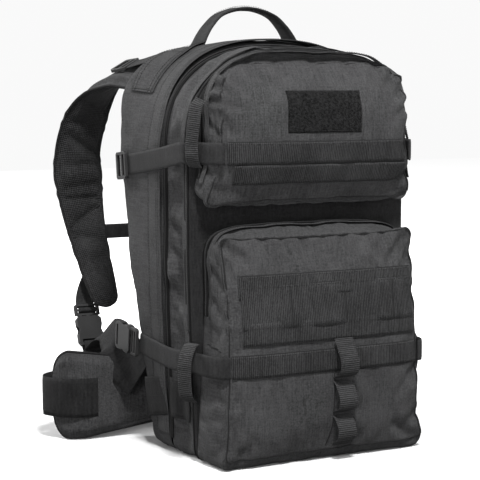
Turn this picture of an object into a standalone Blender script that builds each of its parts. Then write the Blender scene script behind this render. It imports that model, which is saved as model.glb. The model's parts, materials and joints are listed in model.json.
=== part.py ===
"""Trauma backpack: a clamshell rear compartment, a second compartment, two front pockets,
shoulder harness, hip belt and compression straps.

Frame: +Z up, the pockets face -Y, the harness is on the +Y side, and the origin is on the
base under the second compartment. All sizes below are millimetres; mm() turns them into metres.
Heights below are measured from a line 12 mm above the floor, and the last step raises the pack by that.
"""

import math

import bmesh
import bpy
from mathutils import Matrix, Vector

# ---- driving dimensions, in millimetres ----
LINE_A = 22.0  # split between the main and the second compartment, along Y
LINE_B = -36.0  # split between the second compartment and its front panel
SEAM_GAP = 0.6  # half of the gap that the zips leave at each split
WALL = 2.4  # padded fabric wall
SPRING = 345.0  # height where the upright sides turn into the rounded top
BASE = -12.0  # the base, in the heights of this file: everything is raised by as much at the end
MAIN_HALF, MAIN_TOP = 150.0, 474.0
SECOND_HALF, SECOND_TOP = 147.0, 465.0
POCKET_HALF = 128.0
ZIP_END = 138.0  # height of the lower end of the two long zips
TAPE_THICK = 1.5
WEB = 25.0  # width of the narrow webbing
WEB_THICK = 1.6
STRAP_X = 158.4  # inner face of the compression straps on the pack's sides
BUCKLE_X = 160.4  # inner face of the hardware that lies on those straps
UPPER_STRAP_Z, LOWER_STRAP_Z = 345.5, 106.5
PAD_THICK = 12.0
CLEAR = 0.4  # gap between pieces that touch
STERNUM_Y, STERNUM_Z = 281.0, 229.0
HANDLE_Y, HANDLE_FOOT_Z = 95.0, 474.5

# Back panel profile: (height, Y of its outer face). It leans back and rolls forward at the top.
REAR_PROFILE = (
    (-12, 84), (14, 85.5), (130, 106.5), (246, 131.3), (345, 145), (410, 140), (450, 124), (480, 100),
)
# Roundness of the pockets' outlines.
LOWER_BACK, LOWER_FACE = {"power": 3.4, "corner": 12}, {"power": 6.0, "corner": 12}
UPPER_BACK, UPPER_FACE = {"power": 3.1, "corner": 12}, {"power": 4.5, "corner": 12}
# Fronts of the two pockets: (height, Y).
LOWER_FRONT = ((0, -103), (90, -102), (150, -99), (200, -92), (260, -80))
UPPER_FRONT = ((296, -74), (335, -86), (395, -87), (430, -79), (460, -58))

# Left shoulder strap, down its middle: (X, Y, Z).
SHOULDER_PATH = (
    (-90, 152, 426), (-99, 176, 434), (-113, 206, 434), (-128, 236, 418), (-139, 258, 391),
    (-146, 272, 358), (-148, 280, 325), (-145, 280, 288), (-141, 276, 250), (-138, 264, 215),
    (-136, 248, 184), (-134, 232, 156), (-132, 222, 138),
)
SHOULDER_WIDTHS = (62, 64, 66, 66, 66, 66, 66, 66, 60, 54, 46, 40, 32)
SHOULDER_TILT = (0.5, 0.5, 0.5, 0.42, 0.25, 0.1, 0, 0, 0, 0, 0, 0, 0)  # fall of its outer edge
# Left keeper loops, from top to bottom: (X, Y, Z).
UPPER_KEEPER = (
    (-139, -44, 402), (-145, -47, 396), (-152, -52, 372), (-155, -54, 350), (-153, -53, 332),
    (-145, -48, 326),
)
LOWER_KEEPER = (
    (-146, -43, 132), (-152, -46, 128), (-160, -51, 112), (-161, -52, 90), (-157, -50, 68), (-147, -45, 62),
)
# Left hip wing in plan: (X, Y).
WING_PATH = ((-109, 113), (-128, 123), (-152, 128), (-178, 130), (-205, 134), (-224, 146), (-232, 164))
WING_HEIGHTS = (72, 82, 90, 96, 104, 108, 98)
HIP_WEB_PATH = (
    (-190, 123.5), (-208, 125), (-229.5, 137), (-242.5, 159), (-242.5, 172), (-233, 185),
    (-212, 197), (-186, 214), (-165, 229), (-153, 230),
)
HIP_WEB_Z = 41
WING_PIVOT = (-107, 111)
WING_LOW, WING_HIGH = BASE + 1.2, 97.2
HIP_SCALE = 1.5  # the hip buckle against the 25 mm ones


def mm(x, y, z):
    """A point given in millimetres, as metres."""
    return Vector((x, y, z)) * 0.001


def profile(points, z):
    """Straight interpolation in a (height, Y) profile."""
    for (z0, y0), (z1, y1) in zip(points, points[1:]):
        if z <= z1:
            share = max(0.0, (z - z0) / (z1 - z0))
            return y0 + (y1 - y0) * share
    return points[-1][1]


# ---- scene, collections and materials ----
for old in list(bpy.data.objects):
    bpy.data.objects.remove(old)

PARTS = bpy.data.collections.new("trauma_backpack")
CUTTERS = bpy.data.collections.new("cutters")
bpy.context.scene.collection.children.link(PARTS)
bpy.context.scene.collection.children.link(CUTTERS)


def material(name, colour, roughness, metallic=0.0):
    made = bpy.data.materials.new(name)
    made.use_nodes = True
    shader = made.node_tree.nodes["Principled BSDF"]
    shader.inputs["Base Color"].default_value = (*colour, 1.0)
    shader.inputs["Roughness"].default_value = roughness
    shader.inputs["Metallic"].default_value = metallic
    return made


FABRIC = material("pack_fabric", (0.050, 0.050, 0.052), 0.85)
WEBBING = material("webbing", (0.040, 0.040, 0.042), 0.75)
MESH = material("spacer_mesh", (0.020, 0.020, 0.021), 0.95)
LOOP = material("loop_pile", (0.012, 0.012, 0.013), 1.0)
PLASTIC = material("acetal_plastic", (0.045, 0.045, 0.048), 0.38)
SHEET = material("frame_plastic", (0.10, 0.10, 0.105), 0.5)
METAL = material("zip_metal", (0.06, 0.06, 0.065), 0.35, 0.8)


# ---- modelling helpers ----
def add(name, mesh, mat, collection=PARTS):
    obj = bpy.data.objects.new(name, mesh)
    obj.data.materials.append(mat)
    collection.objects.link(obj)
    return obj


def loft(rings, cap_start, cap_end):
    """A bmesh through closed rings of equal length. A ring's points are in left and right
    pairs, from its two ends inwards, so a cap is a stack of level strips."""
    bm = bmesh.new()
    made = [[bm.verts.new(p) for p in ring] for ring in rings]
    count = len(rings[0])
    for near, far in zip(made, made[1:]):
        for i in range(count):
            j = (i + 1) % count
            bm.faces.new((near[i], near[j], far[j], far[i]))
    for ring, wanted in ((made[0], cap_start), (made[-1], cap_end)):
        if wanted:
            for i in range(count // 2 - 1):
                bm.faces.new((ring[i], ring[i + 1], ring[count - 2 - i], ring[count - 1 - i]))
    bmesh.ops.recalc_face_normals(bm, faces=bm.faces)
    return bm


def mesh_of(name, bm):
    mesh = bpy.data.meshes.new(name)
    bm.to_mesh(mesh)
    bm.free()
    return mesh


def arch(y, half, top, foot=None, low=BASE, power=2.5, spring=SPRING, corner=16.0):
    """A closed outline across the pack: flat base, upright sides and a superelliptic top.
    y is a number, or a function of the height. foot is the half width at the base."""
    foot = half if foot is None else foot
    left = [(-(foot - corner), low), (-(foot - 0.3 * corner), low + 0.3 * corner), (-foot, low + corner)]
    for share in (0.35, 0.7):
        side = foot + (half - foot) * min(1.0, 1.6 * share)
        left.append((-side, low + corner + (spring - low - corner) * share))
    steps = 8
    for k in range(steps):
        angle = math.radians(90.0 * k / (steps - 0.45))
        x = half * math.cos(angle) ** (2 / power)
        left.append((-x, spring + (top - spring) * math.sin(angle) ** (2 / power)))
    points = left + [(-x, z) for x, z in reversed(left)]
    depth = y if callable(y) else (lambda z: y)
    return [mm(x, depth(z), z) for x, z in points]


def shell(name, rings, wall=WALL):
    """A tub: open at the first ring, closed at the last one, with its wall grown inwards."""
    bm = loft(rings, False, True)
    centre = sum((v.co for v in bm.verts), Vector()) / len(bm.verts)
    outward = sum((f.normal.dot(f.calc_center_median() - centre) for f in bm.faces))
    if outward < 0:
        bmesh.ops.reverse_faces(bm, faces=bm.faces)
    obj = add(name, mesh_of(name, bm), FABRIC)
    solid = obj.modifiers.new("wall", "SOLIDIFY")
    solid.thickness = wall * 0.001
    solid.offset = -1.0
    return obj


def strip(name, stations, mat):
    """A band of fabric or webbing. A station is (centre, half width vector, half thickness vector)."""
    rings = [[c - w - t, c - w + t, c + w + t, c + w - t] for c, w, t in stations]
    bm = loft(rings, True, True)
    bmesh.ops.triangulate(bm, faces=bm.faces)
    return add(name, mesh_of(name, bm), mat)


def band(name, path, across, width, thick, mat):
    """A strip along a path in millimetres. across is the width's direction. Both across and width may be
    lists, with one for each station."""
    points = [mm(*p) for p in path]
    widths = width if hasattr(width, "__len__") else [width] * len(points)
    sides = across if hasattr(across[0], "__len__") else [across] * len(points)
    stations = []
    for i, point in enumerate(points):
        run = points[min(i + 1, len(points) - 1)] - points[max(i - 1, 0)]
        side = Vector(sides[i]).normalized()
        side = (side - run.normalized() * side.dot(run.normalized())).normalized()
        facing = run.cross(side).normalized()
        stations.append((point, side * widths[i] * 0.0005, facing * thick * 0.0005))
    return strip(name, stations, mat)


def block(name, size, centre, collection=PARTS, mat=PLASTIC):
    bm = bmesh.new()
    bmesh.ops.create_cube(bm, size=1.0)
    bmesh.ops.scale(bm, vec=Vector(size) * 0.001, verts=bm.verts)
    bmesh.ops.translate(bm, vec=mm(*centre), verts=bm.verts)
    obj = add(name, mesh_of(name, bm), mat, collection)
    if collection is CUTTERS:
        obj.hide_render = True
        obj.display_type = "WIRE"
    return obj


def outline_mesh(name, loops, thick):
    """A flat plate in the XY plane, centred on Z, from outlines in millimetres; later loops are holes."""
    curve = bpy.data.curves.new(name, "CURVE")
    curve.dimensions = "2D"
    curve.fill_mode = "BOTH"
    curve.extrude = thick * 0.0005
    for loop in loops:
        spline = curve.splines.new("POLY")
        spline.points.add(len(loop) - 1)
        for point, (x, y) in zip(spline.points, loop):
            point.co = (x * 0.001, y * 0.001, 0.0, 1.0)
        spline.use_cyclic_u = True
    flat = bpy.data.objects.new(name, curve)
    mesh = bpy.data.meshes.new_from_object(flat)
    bpy.data.objects.remove(flat)
    bm = bmesh.new()
    bm.from_mesh(mesh)
    bmesh.ops.remove_doubles(bm, verts=bm.verts, dist=1e-6)
    bm.to_mesh(mesh)
    bm.free()
    return mesh


def rectangle(x0, y0, x1, y1, cut=0.0):
    """A rectangle's corners, each cut off by cut."""
    if not cut:
        return [(x0, y0), (x1, y0), (x1, y1), (x0, y1)]
    return [
        (x0 + cut, y0), (x1 - cut, y0), (x1, y0 + cut), (x1, y1 - cut),
        (x1 - cut, y1), (x0 + cut, y1), (x0, y1 - cut), (x0, y0 + cut),
    ]


def combine(base, others, operation):
    """Joins or cuts base with other objects, and leaves one plain mesh."""
    for other in others:
        step = base.modifiers.new(operation.lower(), "BOOLEAN")
        step.operation = operation
        step.object = other
        step.solver = "EXACT"
    bpy.context.view_layer.update()
    evaluated = base.evaluated_get(bpy.context.evaluated_depsgraph_get())
    mesh = bpy.data.meshes.new_from_object(evaluated)
    base.modifiers.clear()
    base.data = mesh
    for other in others:
        bpy.data.objects.remove(other)
    return base


def placed(name, mesh, matrix, mat=PLASTIC, scale=1.0):
    """A copy of a mesh, scaled in its own axes and put in place by a matrix."""
    copy = mesh.copy()
    copy.materials.clear()
    copy.transform(Matrix.Scale(scale, 4))
    obj = add(name, copy, mat)
    obj.matrix_world = matrix
    return obj


def axes(origin, along, facing):
    """A placement: local +Y runs along, local +Z faces outwards. The origin is in millimetres."""
    y = Vector(along).normalized()
    z = Vector(facing).normalized()
    z = (z - y * z.dot(y)).normalized()
    rotation = Matrix((y.cross(z), y, z)).transposed().to_4x4()
    return Matrix.Translation(mm(*origin)) @ rotation


def hang(name, point, pieces, parent=None):
    """An empty on a joint's axis, and the pieces that turn or slide with it."""
    pivot = bpy.data.objects.new(name, None)
    PARTS.objects.link(pivot)
    pivot.matrix_world = Matrix.Translation(mm(*point))
    bpy.context.view_layer.update()
    if parent:
        pivot.parent = bpy.data.objects[parent]
        pivot.matrix_parent_inverse = bpy.data.objects[parent].matrix_world.inverted()
    for piece in pieces:
        bpy.data.objects[piece].parent = pivot
        bpy.data.objects[piece].matrix_parent_inverse = pivot.matrix_world.inverted()


# ---- compartments ----
def main_compartment():
    def rear(inset):
        return lambda z: profile(REAR_PROFILE, z) - inset

    def middle(z):
        return (LINE_A + profile(REAR_PROFILE, z)) / 2

    shell("main_shell", [
        arch(LINE_A + SEAM_GAP, MAIN_HALF - 1, MAIN_TOP - 3, foot=141),
        arch(middle, MAIN_HALF + 2, MAIN_TOP + 1, foot=142, power=2.8),
        arch(rear(13), MAIN_HALF + 3, MAIN_TOP - 5, foot=140, power=4.2),
        arch(rear(0), MAIN_HALF - 9, MAIN_TOP - 15, foot=128, low=BASE + 10, power=4.2),
    ])


def second_compartment():
    shell("second_shell", [
        arch(LINE_B + SEAM_GAP, SECOND_HALF - 1, SECOND_TOP - 1, foot=139),
        arch(LINE_A - 9, MAIN_HALF - 1, SECOND_TOP + 3, foot=141),
        arch(LINE_A - SEAM_GAP, MAIN_HALF - 7, SECOND_TOP - 3, foot=135, low=BASE + 4),
    ])
    outline = [(p.x * 1000, p.z * 1000) for p in arch(0, SECOND_HALF - 1, SECOND_TOP - 1, foot=139)]
    panel = placed("front_panel", outline_mesh("front_panel", [outline], WALL), Matrix(), FABRIC)
    upright = Matrix.Rotation(math.pi / 2, 4, "X")
    panel.matrix_world = Matrix.Translation(mm(0, LINE_B - CLEAR - WALL / 2, 0)) @ upright


def front_pockets():
    back = LINE_B - WALL - 4 * CLEAR

    def front_of(points, inset):
        return lambda z: profile(points, z) + inset

    shell("lower_pocket", [
        arch(back, POCKET_HALF + 1, 262, foot=138, spring=232, **LOWER_BACK),
        arch(front_of(LOWER_FRONT, 9), POCKET_HALF, 256, foot=136, spring=228, **LOWER_FACE),
        arch(front_of(LOWER_FRONT, 0), POCKET_HALF - 2, 250, foot=130, spring=228, low=BASE + 4,
             **LOWER_FACE),
    ], wall=2.0)
    shell("upper_pocket", [
        arch(back, POCKET_HALF + 1, 458, low=294, spring=372, **UPPER_BACK),
        arch(back - 14, POCKET_HALF + 1, 458, low=294, spring=372, **UPPER_BACK),
        arch(front_of(UPPER_FRONT, 9), POCKET_HALF, 453, low=288, spring=380, **UPPER_FACE),
        arch(front_of(UPPER_FRONT, 0), POCKET_HALF - 6, 447, low=291, spring=385, **UPPER_FACE),
    ], wall=2.0)


def zip_tape(name, y0, y1, half, top, start, **shape):
    """A zip's tape and coil, laid round a compartment's edge, from one side's lower end to the other's."""
    ring = arch((y0 + y1) / 2, half, top, **shape)
    run = [p for p in ring if p.z > (start + 12) * 0.001]
    foot_left = Vector((run[0].x, run[0].y, start * 0.001))
    foot_right = Vector((run[-1].x, run[-1].y, start * 0.001))
    run = [foot_left, *run, foot_right]
    across = Vector((0, (y1 - y0) * 0.0005, 0))
    stations = []
    for i, point in enumerate(run):
        step = run[min(i + 1, len(run) - 1)] - run[max(i - 1, 0)]
        out = Vector((-step.z, 0, step.x)).normalized() * TAPE_THICK * 0.0005
        stations.append((point + out, across, out))
    strip(name, stations, WEBBING)


def zips():
    second_top = SECOND_TOP + 2.2
    zip_tape("main_zip_tape", LINE_A + 1, LINE_A + 12, MAIN_HALF + 0.6, MAIN_TOP - 0.8, ZIP_END, foot=143)
    zip_tape("second_zip_tape", LINE_B + 1, LINE_B + 12, SECOND_HALF + 1.2, second_top, ZIP_END, foot=141)
    zip_tape("lower_pocket_zip_tape", -53, -42, POCKET_HALF + 1.8, 264.7, 156, foot=139, spring=232,
             power=3.4)
    zip_tape("upper_pocket_zip_tape", -53, -42, POCKET_HALF + 1.6, 460.5, 308, low=294, spring=372,
             power=3.1)


def slider_mesh():
    """A slider whose face is the XY plane: the zip runs along Y, and the bridge stands up along +Z."""
    body = block("slider_body", (9, 14, 3.4), (0, 0, 1.7))
    profile_points = [(-5, -1), (5, -1), (5, 1.6), (3.4, 3.3), (-3.4, 3.3), (-5, 1.6)]
    hole = [(-2.2, 0.35), (-2.2, 2.3), (2.2, 2.3), (2.2, 0.35)]
    bridge = placed("slider_bridge", outline_mesh("slider_bridge", [profile_points, hole], 2.4), Matrix())
    bridge.matrix_world = axes((0, 0, 3.4), (0, 0, 1), (1, 0, 0))
    body = combine(body, [bridge], "UNION")
    mesh = body.data
    bpy.data.objects.remove(body)
    return mesh


def pull_mesh():
    """A pull tab in the XY plane that hangs along -Y from its bar, which is on the local X axis."""
    outer = [(-3.2, 0.6), (3.2, 0.6), (4, -4), (4, -20), (2.6, -23), (-2.6, -23), (-4, -20), (-4, -4)]
    window = [(-1.9, -0.6), (-1.9, -5.4), (1.9, -5.4), (1.9, -0.6)]
    return outline_mesh("pull", [outer, window], 1.2)


def zip_sliders():
    slider, pull = slider_mesh(), pull_mesh()
    places = {
        "main_zip": (MAIN_HALF + 2.6, LINE_A + 6.5, 178),
        "second_zip": (SECOND_HALF + 3.4, LINE_B + 6.5, 178),
        "lower_pocket": (POCKET_HALF + 4.2, -47.5, 178),
        "upper_pocket": (POCKET_HALF + 4.2, -47.5, 318),
    }
    for name, (x, y, z) in places.items():
        placed(name + "_slider", slider, axes((x, y, z), (0, 0, 1), (1, 0, 0)), METAL)
        placed(name + "_pull", pull, axes((x + 4.7, y, z), (0, 0, 1), (1, 0, 0)), METAL)


# ---- back panel ----
def back_panel():
    heights = (26, 80, 130, 190, 246, 300, 345, 400)
    path = [(0, profile(REAR_PROFILE, z) + CLEAR + PAD_THICK / 2, z) for z in heights]
    band("back_pad", path, (1, 0, 0), [190, 204, 220, 226, 228, 226, 220, 200], PAD_THICK, MESH)
    inner = [(0, profile(REAR_PROFILE, z) - WALL - 2.5, z) for z in heights]
    band("frame_sheet", inner, (1, 0, 0), 222, 1.8, SHEET)


# ---- webbing and fabric on the outside ----
def strap_around(name, rear_y, rear_z, front_z, pocket_front, arms):
    """A compression strap that runs from one side hardware, round the pocket, to the other."""
    mid = STRAP_X + WEB_THICK / 2
    left = [(-mid, rear_y, rear_z), (-mid, 10, (rear_z + front_z) / 2), (-mid + 3, -32, front_z + 1), *arms]
    left += [(-121, pocket_front, front_z), (-96, pocket_front, front_z), (-40, pocket_front, front_z)]
    band(name, left + [(-x, y, z) for x, y, z in reversed(left)], (0, 0, 1), WEB, WEB_THICK, WEBBING)


def straps_and_rows():
    upper_y = profile(UPPER_FRONT, 345) - 2.0
    strap_around("upper_compression_strap", 100, 327, UPPER_STRAP_Z, upper_y,
                 [(-149, -45, 345.5), (-137, -55, 345.5), (-134.5, -68, 345.5), (-130.5, -81, 345.5)])
    lower_y = profile(LOWER_FRONT, 106) - 3.2
    strap_around("lower_compression_strap", 66, 114, LOWER_STRAP_Z, lower_y,
                 [(-150, -46, 106.5), (-144, -60, 106.5), (-143, -88, 106.5), (-135, -100, 106.5)])
    row_y = profile(UPPER_FRONT, 322) - 2.2
    tilt = (0, profile(UPPER_FRONT, 332) - profile(UPPER_FRONT, 312), 20)
    row = [(-118, row_y + 1.5, 320), (-60, row_y, 320), (60, row_y, 320), (118, row_y + 1.5, 320)]
    band("upper_molle_row", row, tilt, 22, WEB_THICK, WEBBING)
    panel_y = profile(LOWER_FRONT, 150) - 2.4
    lean = (0, profile(LOWER_FRONT, 200) - profile(LOWER_FRONT, 135), 65)
    panel = [(-118, panel_y, 169), (-60, panel_y - 1, 169), (60, panel_y - 1, 169), (118, panel_y, 169)]
    band("lower_molle_panel", panel, lean, 76, 2.6, WEBBING)
    patch_y = profile(UPPER_FRONT, 392) - 1.6
    band("loop_patch", [(-46, patch_y, 392), (54, patch_y, 392)], (0, 0, 1), 48, 1.8, LOOP)


def gear_loops():
    """A strip of webbing in three loops down the front of the lower pocket."""
    base = LOWER_FRONT[0][1] - 1.6
    x = 17.5
    path = [
        (x, base - 4.6, 131), (x, base - 9, 124), (x, base - 19, 106), (x, base - 17, 92),
        (x, base - 5, 86.5),
        (x, base, 83), (x, base - 9, 76), (x, base - 17, 62), (x, base - 15, 51), (x, base - 4, 46),
        (x, base, 42), (x, base - 9, 35), (x, base - 15, 24), (x, base - 12, 14), (x, base - 3, 9),
        (x, base, 5),
    ]
    band("gear_loop_strip", path, (1, 0, 0), WEB, WEB_THICK, WEBBING)


def keepers():
    """Four webbing loops at the front corners that hold the compression straps."""
    for side, label in ((1, "left"), (-1, "right")):
        across = (side * 0.55, -1.0, 0)
        for name, path in (("upper_keeper_", UPPER_KEEPER), ("lower_keeper_", LOWER_KEEPER)):
            points = [(side * x, y, z) for x, y, z in path]
            band(name + label, points, across, 20, WEB_THICK, WEBBING)


def side_bands():
    for side, label in ((1, "left"), (-1, "right")):
        x = side * -152.0
        band("side_band_" + label, [(x, LINE_A + 4, 56), (x, 76, 46)], (0, 0, 1), 48, WEB_THICK, WEBBING)


# ---- handle ----
def haul_handle():
    path = [(-66, HANDLE_FOOT_Z), (-63, 480), (-56, 492), (-40, 507), (-18, 515.5), (0, 517.5)]
    path = path + [(-x, z) for x, z in reversed(path[:-1])]
    widths = [8, 12, 17, 18, 18, 18, 18, 18, 17, 12, 8]
    band("haul_handle", [(x, HANDLE_Y, z) for x, z in path], (0, 1, 0), widths, 4.0, WEBBING)


# ---- harness ----
def female_mesh():
    """The socket half: the mouth is at Y = 0, the body runs to -Y, and its webbing slot is at the end."""
    outline = [(-13, 0), (13, 0), (17, -4), (17, -12), (15, -18), (17, -24), (17, -34), (14, -38),
               (-14, -38), (-17, -34), (-17, -24), (-15, -18), (-17, -12), (-17, -4)]
    slot = rectangle(-13, -34.5, 13, -30.5)
    body = placed("female_body", outline_mesh("female_body", [outline, slot], 8.6), Matrix())
    cavity = block("female_cavity", (26.6, 29, 5.2), (0, -12.5, 0), CUTTERS)
    window = block("female_window", (40, 9, 5.2), (0, -18, 0), CUTTERS)
    body = combine(body, [cavity, window], "DIFFERENCE")
    mesh = body.data
    bpy.data.objects.remove(body)
    return mesh


def male_mesh():
    """The plug half: a slotted base outside the mouth, two sprung arms and a middle guide inside."""
    fork = [
        (-17, 1), (-12.6, 1), (-12.6, -8), (-12.9, -20), (-10, -24), (-8, -20), (-8.4, 1),
        (-2.2, 1), (-1.6, -19), (1.6, -19), (2.2, 1),
        (8.4, 1), (8, -20), (10, -24), (12.9, -20), (12.6, -8), (12.6, 1),
        (17, 1), (17, 14), (15, 16), (-15, 16), (-17, 14),
    ]
    slots = [rectangle(-13.4, 3.6, 13.4, 7.0), rectangle(-13.4, 9.8, 13.4, 13.2)]
    return outline_mesh("male", [fork, *slots], 4.4)


def ladder_lock_mesh():
    """A ladder lock in the XY plane: the strap enters along +Y."""
    slots = [rectangle(-12.9, -9.5, 12.9, -4.5), rectangle(-12.9, 0.0, 12.9, 8.5)]
    return outline_mesh("ladder_lock", [rectangle(-16.5, -13, 16.5, 13, 2.5), *slots], 4.2)


def harness(side, label, female, male, lock):
    """One shoulder strap with its load lifter and lower buckle. side is 1 on the left and -1 on the right."""
    def at(x, y, z):
        return (side * x, y, z)

    tilts = [(side * 1.0, 0.0, tilt) for tilt in SHOULDER_TILT]
    band("shoulder_strap_" + label, [at(*p) for p in SHOULDER_PATH], tilts, SHOULDER_WIDTHS, 13, MESH)
    lifter = [at(-88, 141, 457), at(-98, 160, 455), at(-108, 181, 450), at(-110, 188, 449)]
    band("load_lifter_webbing_" + label, lifter, (side * 1.0, 0, 0.5), WEB, WEB_THICK, WEBBING)
    place = axes(at(-114, 202, 447.5), (side * -0.3, 0.95, -0.1), (side * -0.447, 0.05, 0.894))
    placed("load_lifter_lock_" + label, lock, place)

    up = Vector((0, 0.35, 0.937))
    mouth = at(-154, 237, 124)
    placed("shoulder_buckle_female_" + label, female, axes(mouth, up, (0, 0.94, -0.35)))
    placed("shoulder_buckle_male_" + label, male, axes(mouth, up, (0, 0.94, -0.35)))

    def span(a, b):
        """A station of the lower strap between two points, 2 mm thick."""
        low, high = mm(*at(*a)), mm(*at(*b))
        return (low + high) / 2, (high - low) / 2

    edges = [
        ((-150.5, 86, 32), (-151, 92, 94)), ((-156, 97, 66), (-153, 101, 107)),
        ((-161, 118, 101), (-153, 116, 122)), ((-164, 140, 112), (-151, 136, 128)),
        ((-166, 165, 112), (-150, 160, 124)), ((-167, 190, 102), (-146, 186, 112)),
        ((-166.5, 210, 91), (-142, 209, 95)), ((-166, 221, 83), (-142, 221, 84)),
    ]
    middles = [span(a, b) for a, b in edges]
    stations = []
    for i, (centre, half) in enumerate(middles):
        run = middles[min(i + 1, len(middles) - 1)][0] - middles[max(i - 1, 0)][0]
        stations.append((centre, half, run.cross(half).normalized() * 0.0009))
    strip("lower_strap_" + label, stations, WEBBING)


def sternum_strap(female, male):
    y, z, scale = STERNUM_Y, STERNUM_Z, 0.78
    over = y + 3.0
    band("sternum_webbing_left", [(-172, y, z), (-31.5, y, z)], (0, 0, 1), 19, WEB_THICK, WEBBING)
    band("sternum_webbing_right", [(172, over, z), (6, over, z)], (0, 0, 1), 19, WEB_THICK, WEBBING)
    place = axes((0, y, z), (1, 0, 0), (0, 1, 0))
    placed("sternum_buckle_female", female, place, scale=scale)
    placed("sternum_buckle_male", male, place, scale=scale)


# ---- hip belt ----
def hip_belt(side, label, half_name, half_mesh):
    def at(points, z):
        return [(side * x, y, z) for x, y in points]

    middle = (WING_LOW + WING_HIGH) / 2
    band("hip_wing_" + label, at(WING_PATH, middle), (0, 0, 1), WING_HEIGHTS, PAD_THICK, MESH)
    band("hip_webbing_" + label, at(HIP_WEB_PATH, HIP_WEB_Z), (0, 0, 1), 48, 1.8, WEBBING)
    inwards = (side, 0, 0)
    if half_name == "female":
        place = axes((-93.5, 230, HIP_WEB_Z), inwards, (0, 1, 0))
    else:
        place = axes((126.5, 230, HIP_WEB_Z), (1, 0, 0), (0, 1, 0))
    placed("hip_buckle_" + half_name, half_mesh, place, scale=HIP_SCALE)


# ---- side hardware ----
def side_hardware(side, label, female, male, lock):
    x = side * -(BUCKLE_X + 2.2)
    placed("compression_lock_" + label, lock, axes((x, 108, 325.5), (0, 0.99, -0.11), (side * -1, 0, 0)))
    x = side * -(BUCKLE_X + 4.4)
    place = axes((x, 79, 116), (0, -0.99, -0.1), (side * -1, 0, 0))
    placed("compression_buckle_female_" + label, female, place)
    placed("compression_buckle_male_" + label, male, place)


main_compartment()
second_compartment()
front_pockets()
zips()
zip_sliders()
back_panel()
straps_and_rows()
gear_loops()
keepers()
side_bands()
haul_handle()
FEMALE, MALE, LOCK = female_mesh(), male_mesh(), ladder_lock_mesh()
for SIDE, LABEL in ((1, "left"), (-1, "right")):
    harness(SIDE, LABEL, FEMALE, MALE, LOCK)
    side_hardware(SIDE, LABEL, FEMALE, MALE, LOCK)
sternum_strap(FEMALE, MALE)
hip_belt(1, "left", "female", FEMALE)
hip_belt(-1, "right", "male", MALE)

# ---- the base comes down to the floor ----
for PART in PARTS.objects:
    PART.matrix_world = Matrix.Translation(mm(0, 0, -BASE)) @ PART.matrix_world

# ---- parents on the joints' axes ----
hang("clamshell_axis", (0, LINE_A, 0), (
    "second_shell", "second_zip_tape", "second_zip_slider", "second_zip_pull",
))
hang("front_panel_axis", (0, LINE_B, 0), (
    "front_panel", "upper_pocket", "lower_pocket", "upper_pocket_zip_tape", "lower_pocket_zip_tape",
    "upper_pocket_slider", "upper_pocket_pull", "lower_pocket_slider", "lower_pocket_pull",
    "upper_compression_strap", "lower_compression_strap", "upper_molle_row", "lower_molle_panel",
    "loop_patch", "gear_loop_strip", "upper_keeper_left", "upper_keeper_right", "lower_keeper_left",
    "lower_keeper_right",
), parent="clamshell_axis")
hang("handle_axis", (0, HANDLE_Y, HANDLE_FOOT_Z - BASE), ("haul_handle",))
hang("hip_axis_left", (*WING_PIVOT, 0), ("hip_wing_left", "hip_webbing_left", "hip_buckle_female"))
hang("hip_axis_right", (-WING_PIVOT[0], WING_PIVOT[1], 0), (
    "hip_wing_right", "hip_webbing_right", "hip_buckle_male",
))
hang("sternum_axis", (0, STERNUM_Y, STERNUM_Z - BASE), (
    "sternum_webbing_left", "sternum_webbing_right", "sternum_buckle_female", "sternum_buckle_male",
))
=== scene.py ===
"""The looks of the trauma backpack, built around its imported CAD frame."""

import json
import math

import bmesh
import bpy
import numpy as np
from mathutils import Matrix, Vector, noise
from mathutils.bvhtree import BVHTree


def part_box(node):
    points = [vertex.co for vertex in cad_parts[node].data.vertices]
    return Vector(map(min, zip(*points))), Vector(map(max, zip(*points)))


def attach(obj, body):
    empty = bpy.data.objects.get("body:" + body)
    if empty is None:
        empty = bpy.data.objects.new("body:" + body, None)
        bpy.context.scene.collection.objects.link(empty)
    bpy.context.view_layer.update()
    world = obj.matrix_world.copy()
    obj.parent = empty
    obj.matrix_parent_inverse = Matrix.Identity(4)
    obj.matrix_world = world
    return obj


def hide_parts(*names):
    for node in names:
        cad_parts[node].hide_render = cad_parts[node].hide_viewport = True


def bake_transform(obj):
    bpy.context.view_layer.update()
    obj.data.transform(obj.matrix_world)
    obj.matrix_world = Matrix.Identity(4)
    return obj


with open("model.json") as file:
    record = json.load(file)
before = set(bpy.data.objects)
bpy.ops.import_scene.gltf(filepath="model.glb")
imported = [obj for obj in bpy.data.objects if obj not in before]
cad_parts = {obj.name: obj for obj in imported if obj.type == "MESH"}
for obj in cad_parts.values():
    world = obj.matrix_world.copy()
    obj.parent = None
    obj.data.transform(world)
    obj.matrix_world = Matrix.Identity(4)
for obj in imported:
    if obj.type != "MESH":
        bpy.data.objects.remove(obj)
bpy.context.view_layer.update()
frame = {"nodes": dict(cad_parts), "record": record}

MM = 0.001
UV = "weave"
RAISE = np.array([0.0, 0.0, 12.0])  # heights below are measured from a line 12 mm above the floor
FLOOR = -12.0


def to_world(points):
    """Millimetres to metres in the frame. Nothing goes below the floor."""
    points = (np.asarray(points, float) + RAISE) * MM
    return np.concatenate([points[..., :2], np.maximum(points[..., 2:], 0.2 * MM)], -1)


def from_world(points):
    return np.asarray(points, float) / MM - RAISE


def extent(node):
    """The lowest and highest corner of a CAD node, in millimetres."""
    low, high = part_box(node)
    return from_world(low), from_world(high)


def middle_of(node):
    low, high = extent(node)
    return (low + high) / 2


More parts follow.
